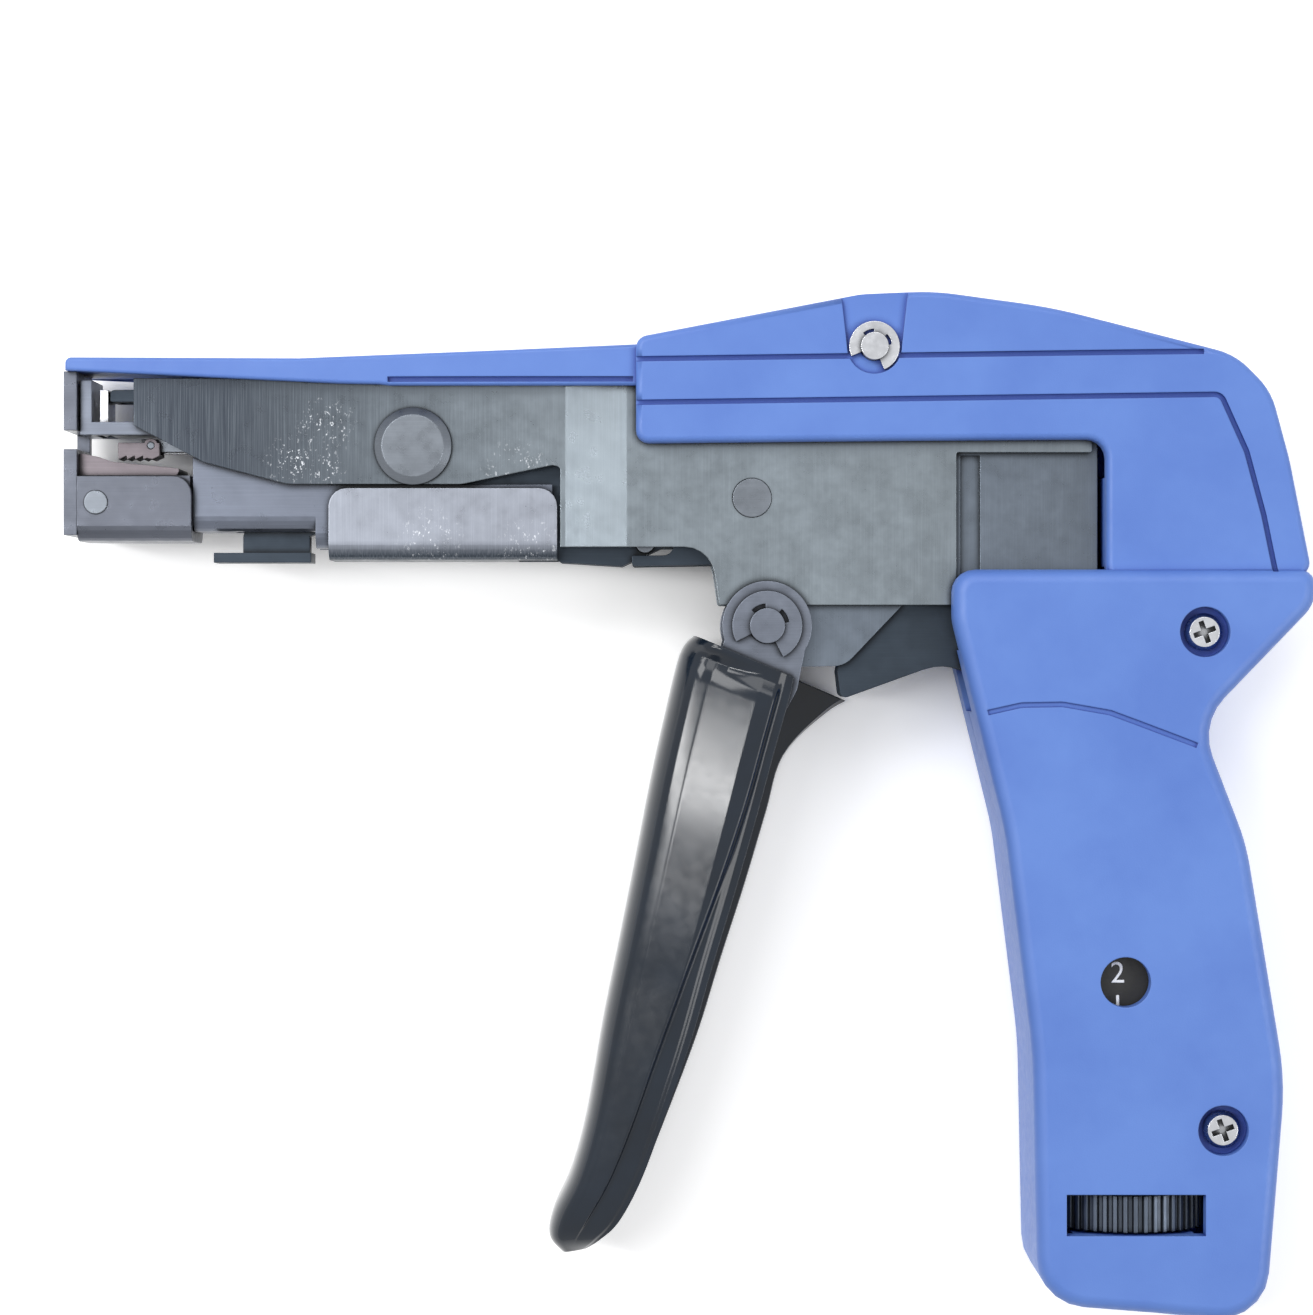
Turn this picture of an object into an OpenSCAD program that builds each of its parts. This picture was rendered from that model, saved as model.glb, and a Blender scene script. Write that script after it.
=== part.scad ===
// Cable tie tensioning tool, lying on its far side: nose towards -X, grip towards -Y, near side up.

/* [Upper housing] */
// Length of the upper housing
head_len = 89.2; // [85:0.5:93]
// Height of the upper housing above the grip
head_h = 36.6; // [36:0.2:38]
// Thickness of the upper housing across both halves
head_t = 19.2; // [18.8:0.2:20.4]
// Wall of both housing halves
wall = 2.2; // [1.8:0.1:2.4]
// Depth of the moulded grooves
groove_depth = 0.6; // [0.3:0.1:0.9]
// Width of the moulded grooves
groove_w = 0.7; // [0.4:0.1:1]

/* [Grip] */
// Length of the grip
grip_len = 97.8; // [95:0.5:101]
// Width of the grip at its top
grip_w = 47.7; // [46.5:0.3:49.5]
// Thickness of the grip across both halves
grip_t = 22; // [21.6:0.2:23.6]
// Distance from the front of the upper housing to the front of the grip
grip_offset = 41.6; // [41:0.2:42.4]
// Radius of the round window over the scale
window_r = 3.3; // [2.6:0.1:3.4]

/* [Rail] */
// Length of the top rail ahead of the upper housing
rail_len = 75.2; // [73:0.2:77]
// Height of the top rail
rail_h = 5.4; // [5.2:0.1:5.8]
// Thickness of the rail skirt on each side
rail_skirt = 1.2; // [0.9:0.1:1.4]

/* [Steel frame] */
// Length of the side plates
frame_len = 108.8; // [107:0.2:110]
// Height of the side plates ahead of the upper housing
frame_h = 30; // [29.6:0.1:30.4]
// Width across the side plates
frame_t = 13.6; // [13.4:0.1:14]
// Thickness of the side plates
plate_t = 1.4; // [1.2:0.1:1.5]
// Depth of the pressed step in the side plates
step_t = 0.8; // [0.5:0.1:1]
// Thickness of the inner plates and of the folded channel
inner_t = 1.2; // [1:0.1:1.3]

/* [Trigger] */
// Length of the trigger handle below its pivot
trigger_len = 84; // [80:0.5:88]
// Depth of the trigger handle at its top, front to rear
trigger_w = 14.4; // [13.4:0.2:15]
// Wall of the trigger handle
trigger_wall = 1.2; // [0.9:0.1:1.3]
// Diameter of the trigger pin
trigger_pin_d = 4.6; // [4:0.1:5]
// Radius of the trigger ears
ear_r = 5.9; // [5.6:0.1:6.4]
// Distance of the trigger pin below the rocker pivot, as a share of the height of the side plates
pivot_drop_share = 0.564; // [0.56:0.001:0.568]

/* [Mechanism] */
// Thickness of the pull bar and of the drive arm
bar_t = 2.4; // [2:0.1:2.4]
// Height of the pull bar
bar_h = 4.2; // [3.6:0.1:4.4]
// Thickness of the rocker and cutter lever cheeks
cheek_t = 1.3; // [1:0.1:1.3]
// Thickness of the tension lever plates
lever_t = 1; // [0.8:0.1:1]
// Distance from the rocker pivot to its upper pin, as a share of the height of the side plates
rocker_up_share = 0.43; // [0.424:0.001:0.436]
// Distance from the trigger pin to the driven pin, at mid stroke
drive_reach = 9.8; // [9.6:0.05:10]
// Turn of the trigger from rest to its stop, in degrees
trigger_angle = 30; // [24:1:32]
// Diameter of the rocker's pins
link_pin_d = 2.4; // [2:0.1:2.6]
// Width of the gripping teeth
tooth_w = 4.6; // [3.6:0.1:4.8]
// Height of the slot that the tie is laid in
tie_gap = 2.5; // [2.2:0.1:2.8]

/* [Tension adjuster] */
// Diameter of the knurled wheel
wheel_d = 20.8; // [19.6:0.2:21]
// Thickness of the knurled wheel
wheel_t = 4.8; // [4:0.1:5.2]
// Number of ribs round the wheel
wheel_ribs = 48; // [30:1:60]
// Diameter of the threaded rod
rod_d = 5; // [4:0.1:5.4]
// Wire of the tension spring
wire_d = 1.3; // [1:0.1:1.5]
// Mean diameter of the tension spring
coil_d = 9; // [8.4:0.1:9.6]
// Turns of the tension spring
coil_turns = 7; // [5:1:9]

/* [Fasteners] */
// Diameter of the screw heads
screw_head_d = 4.9; // [4.4:0.1:5.4]
// Diameter of the counterbores round the screw heads
screw_bore_d = 6.6; // [6:0.1:7]
// Diameter of the screw shanks
screw_d = 2.6; // [2.2:0.1:3]
// Diameter of the upper pin
upper_pin_d = 3.6; // [3:0.1:4]

/* [Hidden] */
$fn = 48;

// Overrun of every cut past the face that it opens
over = 0.5;
// Clearance between plates that move past each other
play = 0.3;
// Radial clearance of every running pin
fit = 0.05;
// Clearance round a pin that slides in a slot
slot_play = 0.35;
// Steps of each rounded corner of an outline
arc_steps = 5;

// Levels above the middle plane, from the middle out
bar_z = bar_t / 2;
cheek_z = bar_z + play;
lever_z = cheek_z + cheek_t + play / 1.5;
inner_z = frame_t / 2 - plate_t - inner_t;
main_z = frame_t / 2 - plate_t;
front_z = main_z - step_t;
frame_z = frame_t / 2;
ear_t = 1.2;
ear_z = frame_z + play / 1.5;
head_z = head_t / 2;
grip_z = grip_t / 2;
mid_z = grip_z;

// Places in the plane of the tool
head_x = -6.73;
deck_y = 30.926;
frame_reach = 42.3;
frame_drop = 4.6;
rail_lap = 1.1;
pivot_offset = 1.95;
pivot_drop = pivot_drop_share * frame_h;
rocker_up = rocker_up_share * frame_h;
grip_x = head_x + grip_offset;
grip_low = deck_y - grip_len;
frame_x = head_x + frame_reach - frame_len;
frame_y = deck_y - frame_drop;
rail_x = head_x - rail_len;
rail_y = frame_y + frame_h - rail_lap;
// Places on the grid of the side plates
rocker_place_shares = [0.752, 0.471];
cutter_place_shares = [0.34, 0.7];
upper_place_shares = [0.899, 1.13];
nose_pin_place_shares = [-0.046, 0.453];
// Places on the grip
screw_place_shares = [[0.69, 0.916], [0.74, 0.2485]];
window_place_shares = [0.472, 0.447];
wheel_place_shares = [0.501, 0.135];
function on_plates(s) = [frame_x + s[0] * frame_len, frame_y + s[1] * frame_h];
function on_grip(s) = [grip_x + s[0] * grip_w, grip_low + s[1] * grip_len];
rocker_at = on_plates(rocker_place_shares);
trigger_at = [rocker_at[0] + pivot_offset, rocker_at[1] - pivot_drop];
cutter_at = on_plates(cutter_place_shares);
upper_at = on_plates(upper_place_shares);
nose_pin_at = on_plates(nose_pin_place_shares);
screw_at = [on_grip(screw_place_shares[0]), on_grip(screw_place_shares[1])];
window_at = on_grip(window_place_shares);
rod_x = on_grip(wheel_place_shares)[0];
wheel_y = on_grip(wheel_place_shares)[1];

function unit(v) = v / norm(v);
function flat(p) = [p[0], p[1]];

// The points that round the corner q, between p and s, with radius r limited by its two sides
function corner(p, q, s, r) =
    let (a = unit(p - q), b = unit(s - q), room = 0.45 * min(norm(p - q), norm(s - q)),
        half = acos(max(-1, min(1, a * b))) / 2, reach = min(room, half > 89 ? room : r / tan(half)),
        t = q + a * reach, e = q + b * reach)
    half > 89 ? [for (i = [0:arc_steps]) t + (e - t) * i / arc_steps] :
    let (bow = reach * tan(half), c = q + unit(a + b) * bow / sin(half),
        from = atan2(t[1] - c[1], t[0] - c[0]), to = atan2(e[1] - c[1], e[0] - c[0]),
        turn = (to - from + 540) % 360 - 180)
    [for (i = [0:arc_steps]) c + bow * [cos(from + turn * i / arc_steps), sin(from + turn * i / arc_steps)]];

// A closed outline whose third entries are corner radii
function rounded(pts) = let (n = len(pts)) [for (i = [0:n - 1])
    each pts[i][2] > 0 ? corner(flat(pts[(i + n - 1) % n]), flat(pts[i]), flat(pts[(i + 1) % n]), pts[i][2])
        : [flat(pts[i])]];

// An open chain between two end points, every inner point rounded
function chain(pts) = [flat(pts[0]),
    for (i = [1:len(pts) - 2]) each corner(flat(pts[i - 1]), flat(pts[i]), flat(pts[i + 1]), pts[i][2]),
    flat(pts[len(pts) - 1])];

// Shares of a length and height, set from a corner: [x share, y share, radius share of the height]
function placed(shares, at, len, high) = [for (s = shares)
    [at[0] + s[0] * len, at[1] + s[1] * high, (len(s) > 2 ? s[2] : 0) * high]];

// A closed loop of two chains that share both ends, the left chain first, clockwise
function looped(left, right) = [each left, for (i = [len(right) - 2:-1:1]) right[i]];

module at_mid() {
    translate([0, 0, mid_z])
        children();
}

// A plate of a closed outline from one level to another
module plate(outline, low, high) {
    translate([0, 0, low])
        linear_extrude(high - low)
            polygon(outline);
}

// The same plate on both sides of the middle plane
module both_sides() {
    children();
    mirror([0, 0, 1])
        children();
}

// A round bar along Z at a place
module post(at, r, low, high) {
    translate([at[0], at[1], low])
        cylinder(r = r, h = high - low);
}

// A box from low corner to high corner
module block(low, high) {
    translate(low)
        cube(high - low);
}

// Upper housing outline: top and rear edge, then front and lower edge, as shares of head_len and head_h
head_top_shares = [[0, 0.64], [0, 0.834, 0.045], [0.332, 0.989, 0.36], [0.439, 1, 0.9], [0.613, 0.942, 2.1],
    [0.883, 0.773, 0.25], [0.936, 0.643, 0.25], [0.963, 0.397, 0.9], [0.994, 0.014, 0.05], [0.93, -0.22]];
// The front edge below the upper housing stands behind the bracket on the side plates
bracket_end_share = 1.173;
bracket_gap = 0.71;
edge_x = frame_x + bracket_end_share * frame_len + bracket_gap;
edge_share = (edge_x - head_x) / head_len;
// The plates rise under the roof of the upper housing, and the rail's hollow opens into it
plate_top_share = 0.885;
hump_share = (deck_y + plate_top_share * head_h - frame_y) / frame_h;
rail_roof = 2;
roof_share = (rail_y + rail_roof - deck_y) / head_h;
head_low_shares = [[0, 0.64], [0, 0.455, 0.045], [0.124, 0.458, 0.03], [0.273, 0.462, 0.03], [0.465, 0.466, 0.03],
    [edge_share, 0.469, 0.069], [edge_share, 0.253, 0.03], [edge_share, 0.036, 0.03], [edge_share, -0.108, 0.03],
    [0.93, -0.22]];
// Grip outline: front edge and rear edge, from the middle of the top to the middle of the bottom
grip_front_shares = [[0.524, 1], [0, 1, 0.049], [0, 0.932, 0.08], [0.144, 0.646, 0.4], [0.181, 0.5, 0.5],
    [0.219, 0.351, 0.67], [0.233, 0.014, 0.068], [0.551, 0.002]];
grip_rear_shares = [[0.524, 1], [0.997, 1, 0.024], [0.999, 0.954, 0.054], [0.681, 0.793, 0.074],
    [0.808, 0.632, 0.3], [0.915, 0.315, 0.4], [0.86, -0.012, 0.09], [0.551, 0.002]];
// Tables of shares on the grid of the side plates. Outlines hold [x, y, corner radius].
side_plate_shares = [[0, 1], [0.64, 1], [0.835, hump_share, 0.088], [0.968, hump_share, 0.088],
    [1, 1.079, 0.088], [1.165, 1.079, 0.03], [1.165, 0.672, 0.01], [1, 0.672, 0.01], [1, 0, 0.018],
    [0.712, 0, 0.013], [0.702, 0.256, 0.256], [0.519, 0.256], [0.519, 0.61, 0.02], [0.509, 0.617, 0.02],
    [0.399, 0.533, 0.2], [0.187, 0.533, 0.2], [0.085, 0.63, 0.1], [0, 0.793]];
// Where the pressed step of the side plates starts and ends along them
step_shares = [0.525, 0.6];
pivot_plate_shares = [[0.718, 0.551, 0.044], [0.938, 0.551, 0.044], [0.938, 0.009, 0.066],
    [0.865, -0.269, 0.11], [0.756, -0.278, 0.11], [0.725, -0.154, 0.062]];
bracket_shares = [[0.947, 0.991, 0.026], [bracket_end_share, 0.991, 0.013], [bracket_end_share, -0.154, 0.026],
    [1.035, -0.154, 0.026], [1.017, -0.004, 0.035], [0.947, 0.022, 0.026]];
wedge_shares = [[-0.069, 0.674, 0.009], [-0.045, 0.656], [-0.027, 0.634], [-0.005, 0.626],
    [0.055, 0.604, 0.009], [0.05, 0.573], [-0.069, 0.573]];
lever_shares = [[-0.033, 0.956, 0.018], [0.239, 0.965, 0.132], [0.373, 0.885, 0.264], [0.519, 0.63, 0.176],
    [0.646, 0.383, 0.053], [0.646, 0.26, 0.026], [0.594, 0.172, 0.013], [0.519, 0.189, 0.013],
    [0.422, 0.449, 0.088], [0.339, 0.524, 0.176], [0.252, 0.595, 0.088], [0.191, 0.846, 0.066],
    [0.06, 0.903, 0.066], [-0.033, 0.903, 0.009]];
channel_trim_shares = [[0.05, 0.665], [0.064, 0.661], [0.085, 0.639], [0.191, 0.559], [0.24, 0.559], [0.24, 0.7],
    [0.05, 0.7]];
leg_shares = [[0.266, 0.568], [0.315, 0.568], [0.315, 0.441], [0.21, 0.308], [0.21, 0.229], [0.128, 0.229],
    [0.128, 0.33, 0.044]];
tension_shares = [[0.861, 1.24, 0.079], [0.939, 1.24, 0.079], [0.949, 0.551, 0.264],
    [0.968, 0.198, 0.264], [1.035, -0.057, 0.264], [1.126, -0.295, 0.264], [1.226, -0.595, 0.044],
    [1.226, -0.753, 0.026], [1.19, -0.753, 0.026], [1.102, -0.498, 0.264], [0.996, -0.242, 0.264],
    [0.861, -0.419, 0.026], [0.857, -0.295, 0.035], [0.874, 0.022, 0.088], [0.874, 0.19, 0.026],
    [0.606, 0.172, 0.013], [0.606, 0.22, 0.004], [0.657, 0.22, 0.048], [0.657, 0.326, 0.048],
    [0.606, 0.326, 0.004], [0.606, 0.366, 0.013], [0.869, 0.366, 0.044]];
// The trigger's own grid leans with its handle: shares of trigger_w across and of trigger_len down
trigger_lean_share = 0.265;
ear_shares = [[-0.357, -0.022], [0.398, -0.022], [0.429, -0.1005, 0.0107], [0.309, -0.1795, 0.0179],
    [-0.257, -0.1795, 0.0107], [-0.342, -0.1098, 0.0107]];
ear_web_shares = [[-0.345, -0.1716], [-0.141, -0.1716], [-0.226, -0.1166], [-0.43, -0.1166]];
// Rectangles on the same grid: left, right, bottom, top
bracket_groove_shares = [1.006, 1.03, -0.2, 0.66];
bracket_wall_shares = [1.157, 1.172, -0.1, 0.97];
channel_front_shares = [0.0705, 0.235, 0.326, 0.66];
channel_rear_shares = [0.22, 0.509, 0.251, 0.533];
tail_slot_shares = [0.466, 0.52, 0.15, 0.335];
leg_slot_shares = [0.118, 0.2515, 0.2, 0.39];
clip_shares = [0.237, 0.515, 0.198, 0.515];
nose_box_shares = [-0.069, 0.07, 0.282, 0.568];
nose_block_shares = [-0.069, 0.067, 0.358, 0.573];
nose_pocket_shares = [-0.02, 0.05, 0.38, 0.53];
nose_face_shares = [-0.085, -0.069, 0.308, 1.03];
tie_slot_share = 0.687;
guide_tab_shares = [-0.053, 0.026, 0.753, 0.81];
guide_flange_shares = [-0.067, -0.053, 0.753, 0.995];
blade_slot_shares = [-0.05, -0.0316, 0.7, 0.9];
finger_shares = [0.003, 0.0814, 0.683, 0.74];
pawl_pin_shares = [0.016, 0, 0.711, 0];
pawl_shares = [-0.024, 0.0267, 0.648, 0.723];
pawl_relief_shares = [-0.0024, 0.05, 0.6715, 0.75];
leaf_shares = [0.0304, 0.0765, 0.66, 0.683];
lever_web_shares = [0.264, 0.349, 0.546, 0.586];
blade_holder_shares = [-0.0352, -0.0255, 0.903, 0.95];
foot_shares = [0.094, 0.213, 0.189, 0.233];
blade_shares = [-0.045, -0.0352, 0.758, 0.956];
tail_pin_shares = [0.622, 0, 0.273, 0];
tail_low_share = -0.753;

// Shares of the upper housing and of the grip
head_hollow_shares = [[-0.024, roof_share], [0.02, roof_share, 0.02], [0.28, 0.912, 0.072], [0.443, 0.922, 0.108],
    [0.613, 0.859, 0.181], [0.853, 0.7, 0.108], [0.907, 0.585, 0.108], [0.969, -0.108, 0.036],
    [0.969, -0.289], [edge_share + 0.031, -0.289], [edge_share + 0.031, 0.332], [edge_share - 0.004, 0.332],
    [-0.024, 0.332]];
grip_hollow_shares = [[0.053, 0.976, 0.014], [0.058, 0.905, 0.054], [0.158, 0.736, 0.081],
    [0.194, 0.635, 0.081], [0.266, 0.351, 0.081], [0.28, 0.024, 0.041], [0.731, 0.024, 0.041],
    [0.861, 0.216, 0.081], [0.861, 0.338, 0.081], [0.759, 0.608, 0.081], [0.643, 0.743, 0.027],
    [0.651, 0.824, 0.027], [0.939, 0.951, 0.014], [0.939, 0.976, 0.008]];
palm_shares = [[0.094, 0.808], [0.186, 0.818, 0.027], [0.299, 0.819, 0.027], [0.429, 0.808, 0.027],
    [0.562, 0.784, 0.027], [0.668, 0.764]];
groove_one_shares = [[-0.009, 0.755], [0.747, 0.78, 0.072], [0.836, 0.782]];
groove_two_shares = [[-0.009, 0.599], [0.861, 0.628, 0.036], [0.899, 0.422, 0.108], [0.924, 0.195, 0.108],
    [0.942, -0.018]];
// Rail outline: shares of rail_len and rail_h
rail_groove_shares = [[0.565, 0.143], [0.75, 0.15], [0.995, 0.15]];
rail_shares = [[0, 0.366], [0, 0.683, 0.195], [0.41, 0.659], [0.761, 0.854], [1.04, 1.024], [1.04, 0],
    [0.568, 0], [0.55, 0.03], [0.48, 0.049]];
// Rear edge of the handle from top to tip, from its upper corner, as shares of trigger_len
handle_corner_shares = [0.76, -1.47];
handle_rear_shares = [[0, 0], [-0.006, -0.032], [-0.032, -0.121], [-0.057, -0.214], [-0.091, -0.333],
    [-0.128, -0.455], [-0.162, -0.573], [-0.208, -0.706], [-0.241, -0.793], [-0.274, -0.855],
    [-0.304, -0.886], [-0.327, -0.905]];
// From its rear edge to its front at the same stations, as shares of trigger_w
handle_deep_shares = [[-0.909, 0.385], [-1, 0.397], [-1, 0.332], [-0.981, 0.298], [-0.926, 0.251],
    [-0.861, 0.204], [-0.808, 0.175], [-0.688, 0.099], [-0.641, 0.064], [-0.614, 0.058], [-0.477, 0],
    [-0.228, -0.041]];
// How much deeper the far flange is at the same stations, flared out to a tab at its top
handle_far_shares = [0.6, 0.4, 0.14, 0.125, 0.125, 0.12, 0.11, 0.1, 0.08, 0.05, 0.02, 0];

// Sizes that belong to one piece each
rail_z = frame_z + play + rail_skirt;
mouth_rise = 10;
throat_depth = 10.6;
head_y0 = deck_y + mouth_rise;
throat_y = deck_y - throat_depth;
throat_over = 2.67;
throat_drop = 8.2;
rib_gap = 0.4;
rib_t = 1.5;
rib_w = 16;
boss_wall = 1.3;
wheel_slot_w = 18.2;
wheel_slot_z = 7;
pin_recess_r = 3.6;
recess_flare_share = 1.25;
bore_depth = 2.2;
nut_r = 2.9;
nut_t = 2;
screw_head_h = 1.7;
screw_turn = 20;
cross_l = 3;
cross_w = 0.7;
rivet_r = 2.4;
rivet_head_r = 2.55;
rocker_shank_r = 1.8;
cutter_head_r = 5.1;
dome_h = 1.2;
dome_flat_share = 0.8;
nose_pin_r = 1.55;
pin_proud = 0.15;
pin_head_share = 1.5;
clip_t = 0.7;
trigger_clip_way = 252;
upper_clip_way = 248;
clip_groove_share = 0.78;
clip_relief_share = 1.27;
clip_relief_at = 137;
clip_relief_angle = 20;
clip_mouth_angle = 45;
upper_clip_r = 3.3;
upper_clip_z = head_z - groove_depth + fit;
trigger_clip_r = 4.6;
washer_r = 3.6;
bend_r = 2;
wrap_round = 2.4;
arm_hub_r = 4.2;
arm_wall = 1.1;
drive_tip_share = 0.75;
slot_rise = 0.85;
spring_wire = 0.5;
trigger_coil_r = 3.2;
trigger_coil_turns = 3;
spring_leg = 5;
rocker_hub_r = 2.8;
eye_w = 7.4;
eye_h = 6.8;
eye_round = 1.2;
bar_leg_w = 3.3;
pawl_pin_r = 0.45;
pawl_wall = 0.5;
tooth_h = 0.5;
teeth = 5;
leaf_t = 0.2;
lever_hub_r = 3;
foot_w = 6;
blade_w = 6;
blade_bevel = 0.6;
cap_r = 5.3;
cap_t = 1.5;
cap_spigot = 3;
nut_rise = -0.5;
nut_h = 7;
nut_w = 9;
rod_over = 8;
knurl_depth = 0.45;
scale_z = 6.9;
scale_t = 1.2;
scale_post_w = 4;
scale_down = 12;
scale_up = 7.8;
coil_steps = 14;
coil_sides = 6;

head_at = [head_x, deck_y];
grip_at = [grip_x, grip_low];
frame_at = [frame_x, frame_y];

// An outline on the grid of the side plates, whose shares follow their length and height
function on_frame(shares) = rounded(placed(shares, frame_at, frame_len, frame_h));
// The corners of a rectangle on the same grid: left, right, bottom and top shares
function low_of(s) = [frame_x + s[0] * frame_len, frame_y + s[2] * frame_h];
function high_of(s) = [frame_x + s[1] * frame_len, frame_y + s[3] * frame_h];

// An outline on the leaning grid of the trigger, set from its pin
function on_trigger(shares) = rounded([for (s = shares)
    [trigger_at[0] + s[0] * trigger_w + s[1] * trigger_lean_share * trigger_len, trigger_at[1] + s[1] * trigger_len,
        (len(s) > 2 ? s[2] : 0) * trigger_len]]);

// A straight bar with round ends of radius ra and rb
function link(a, b, ra, rb) =
    let (run = b - a, way = atan2(run[1], run[0]), lean = acos((ra - rb) / norm(run)), turns = 4 * arc_steps)
    [for (i = [0:turns]) a + ra * [for (t = [way + lean + (360 - 2 * lean) * i / turns]) each [cos(t), sin(t)]],
        for (i = [0:turns]) b + rb * [for (t = [way - lean + 2 * lean * i / turns]) each [cos(t), sin(t)]]];

// A band of width w along an open path
function ribbon(path, w) = let (n = len(path), side = [for (i = [0:n - 1])
    let (d = unit(path[min(i + 1, n - 1)] - path[max(i - 1, 0)])) [-d[1], d[0]] * w / 2])
    [for (i = [0:n - 1]) path[i] + side[i], for (i = [n - 1:-1:0]) path[i] - side[i]];

// A bent arm of half width r through three centres, with round ends
function bent(a, b, c, r) = rounded([for (q = ribbon([a + unit(a - b) * r, b, c + unit(c - b) * r], 2 * r))
    [q[0], q[1], r]]);

// The place of a point at distance d from c, leaning by angle a from +Y towards +X
function leaning(c, d, a) = c + d * [sin(a), cos(a)];

// Folded U channel along X: open at the top, with round bends at the bottom
module folded_channel(low, high, out, t, bend) {
    translate([low[0], 0, 0])
        rotate([90, 0, 90])
            linear_extrude(high[0] - low[0])
                polygon([each rounded([[high[1], -out, 0], [high[1], -out + t, 0], [low[1] + t, -out + t, bend - t],
                    [low[1] + t, out - t, bend - t], [high[1], out - t, 0], [high[1], out, 0],
                    [low[1], out, bend], [low[1], -out, bend]])]);
}

// Sector of a disc about Z: its middle direction and half its angle, in degrees
module sector(r, way, half, low, high)
    plate([[0, 0], for (i = [0:arc_steps]) let (a = way - half + 2 * half * i / arc_steps) r * [cos(a), sin(a)]],
        low, high);

// Flat E-clip on a pin along Z: open at way, with two reliefs between its three inner lugs
module e_clip(at, pin_r, out_r, low, high, way)
    translate([at[0], at[1], 0])
        difference() {
            translate([0, 0, low])
                cylinder(r = out_r, h = high - low);
            translate([0, 0, low - over])
                cylinder(r = pin_r * clip_groove_share, h = high - low + 2 * over);
            sector(2 * out_r, way, clip_mouth_angle, low - over, high + over);
            for (side = [-1, 1])
                sector(pin_r * clip_relief_share, way + side * clip_relief_at, clip_relief_angle, low - over,
                    high + over);
        }

// A wire wound about +Z: whole turns of mean radius r, climbing by rise, with straight legs along Y
module coil(r, wire, turns, rise, leg) {
    steps = turns * coil_steps;
    ring = [for (s = [0:coil_sides - 1]) 360 * s / coil_sides];
    shifts = leg > 0 ? [[0, -leg], each [for (i = [0:steps]) [i, 0]], [steps, leg]] : [for (i = [0:steps]) [i, 0]];
    last = len(shifts) - 1;
    points = [for (k = shifts) let (a = 360 * k[0] / coil_steps, z = rise * k[0] / steps)
        for (b = ring) [(r + wire / 2 * cos(b)) * cos(a), (r + wire / 2 * cos(b)) * sin(a) + k[1],
            z + wire / 2 * sin(b)]];
    polyhedron(points = points, faces = [
        for (i = [0:last - 1], s = [0:coil_sides - 1])
            let (a = i * coil_sides, b = a + coil_sides, t = (s + 1) % coil_sides)
            each [[a + s, a + t, b + t], [a + s, b + t, b + s]],
        for (s = [1:coil_sides - 2]) each [[0, s + 1, s],
            [last * coil_sides, last * coil_sides + s, last * coil_sides + s + 1]]]);
}

// Hexagonal nut blank along Z
module hex(r, h) {
    cylinder(r = r, h = h, $fn = 6);
}

head_outline = looped(chain(placed(head_top_shares, head_at, head_len, head_h)),
    chain(placed(head_low_shares, head_at, head_len, head_h)));
grip_outline = looped(chain(placed(grip_rear_shares, grip_at, grip_w, grip_len)),
    chain(placed(grip_front_shares, grip_at, grip_w, grip_len)));

module rail_half() {
    plate(rounded(placed(rail_shares, [rail_x, rail_y], rail_len, rail_h)), 0, rail_z);
}

// Ribs inside the grip that carry the threaded rod below and above the wheel
module rod_ribs() {
    for (y = [wheel_y - wheel_t / 2 - rib_gap - rib_t, wheel_y + wheel_t / 2 + rib_gap])
        block([rod_x - rib_w / 2, y, 0], [rod_x + rib_w / 2, y + rib_t, grip_z - wall / 2]);
}

module screw_bosses() {
    for (at = screw_at)
        post(at, screw_bore_d / 2 + boss_wall, 0, grip_z - wall / 2);
}

// What both halves of the housing have alike, from the parting plane up
module housing_half() {
    difference() {
        union() {
            difference() {
                union() {
                    plate(head_outline, 0, head_z);
                    plate(grip_outline, 0, grip_z);
                    rail_half();
                }
                plate(rounded(placed(head_hollow_shares, head_at, head_len, head_h)), -over, frame_z + play);
                plate(rounded(placed(grip_hollow_shares, grip_at, grip_w, grip_len)), -over, grip_z - wall);
                block([rail_x - over, head_y0 - over, -over], [head_x + wall, rail_y + rail_roof, frame_z + play]);
                block([grip_x - over, throat_y, -over], [edge_x + throat_over, deck_y + over, frame_z + play]);
                block([grip_x - over, throat_y - throat_drop, -over], [(grip_x + edge_x) / 2, deck_y, inner_z]);
            }
            rod_ribs();
            screw_bosses();
        }
        translate([rod_x, grip_low, 0])
            rotate([-90, 0, 0])
                cylinder(r = rod_d / 2 + fit, h = grip_len / 2);
        block([rod_x - wheel_slot_w / 2, wheel_y - wheel_t / 2 - play, wheel_slot_z],
            [rod_x + wheel_slot_w / 2, wheel_y + wheel_t / 2 + play, grip_z + over]);
        for (at = screw_at)
            post(at, screw_d / 2 + fit, -over, grip_z + over);
        post(upper_at, upper_pin_d / 2 + fit, 0, grip_z + over);
        post(upper_at, pin_recess_r, head_z - groove_depth, head_z + over);
        plate([[upper_at[0] - pin_recess_r, upper_at[1]], [upper_at[0] + pin_recess_r, upper_at[1]],
            [upper_at[0] + pin_recess_r * recess_flare_share, deck_y + head_h + over],
            [upper_at[0] - pin_recess_r * recess_flare_share, deck_y + head_h + over]],
            head_z - groove_depth, head_z + over);
        plate(ribbon(chain(placed(rail_groove_shares, [rail_x, rail_y], rail_len, rail_h)), groove_w),
            rail_z - groove_depth, rail_z + over);
        for (s = [groove_one_shares, groove_two_shares])
            plate(ribbon(chain(placed(s, head_at, head_len, head_h)), groove_w),
                head_z - groove_depth, head_z + over);
        plate(ribbon(chain(placed(palm_shares, grip_at, grip_w, grip_len)), groove_w),
            grip_z - groove_depth / 2, grip_z + over);
    }
}

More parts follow.
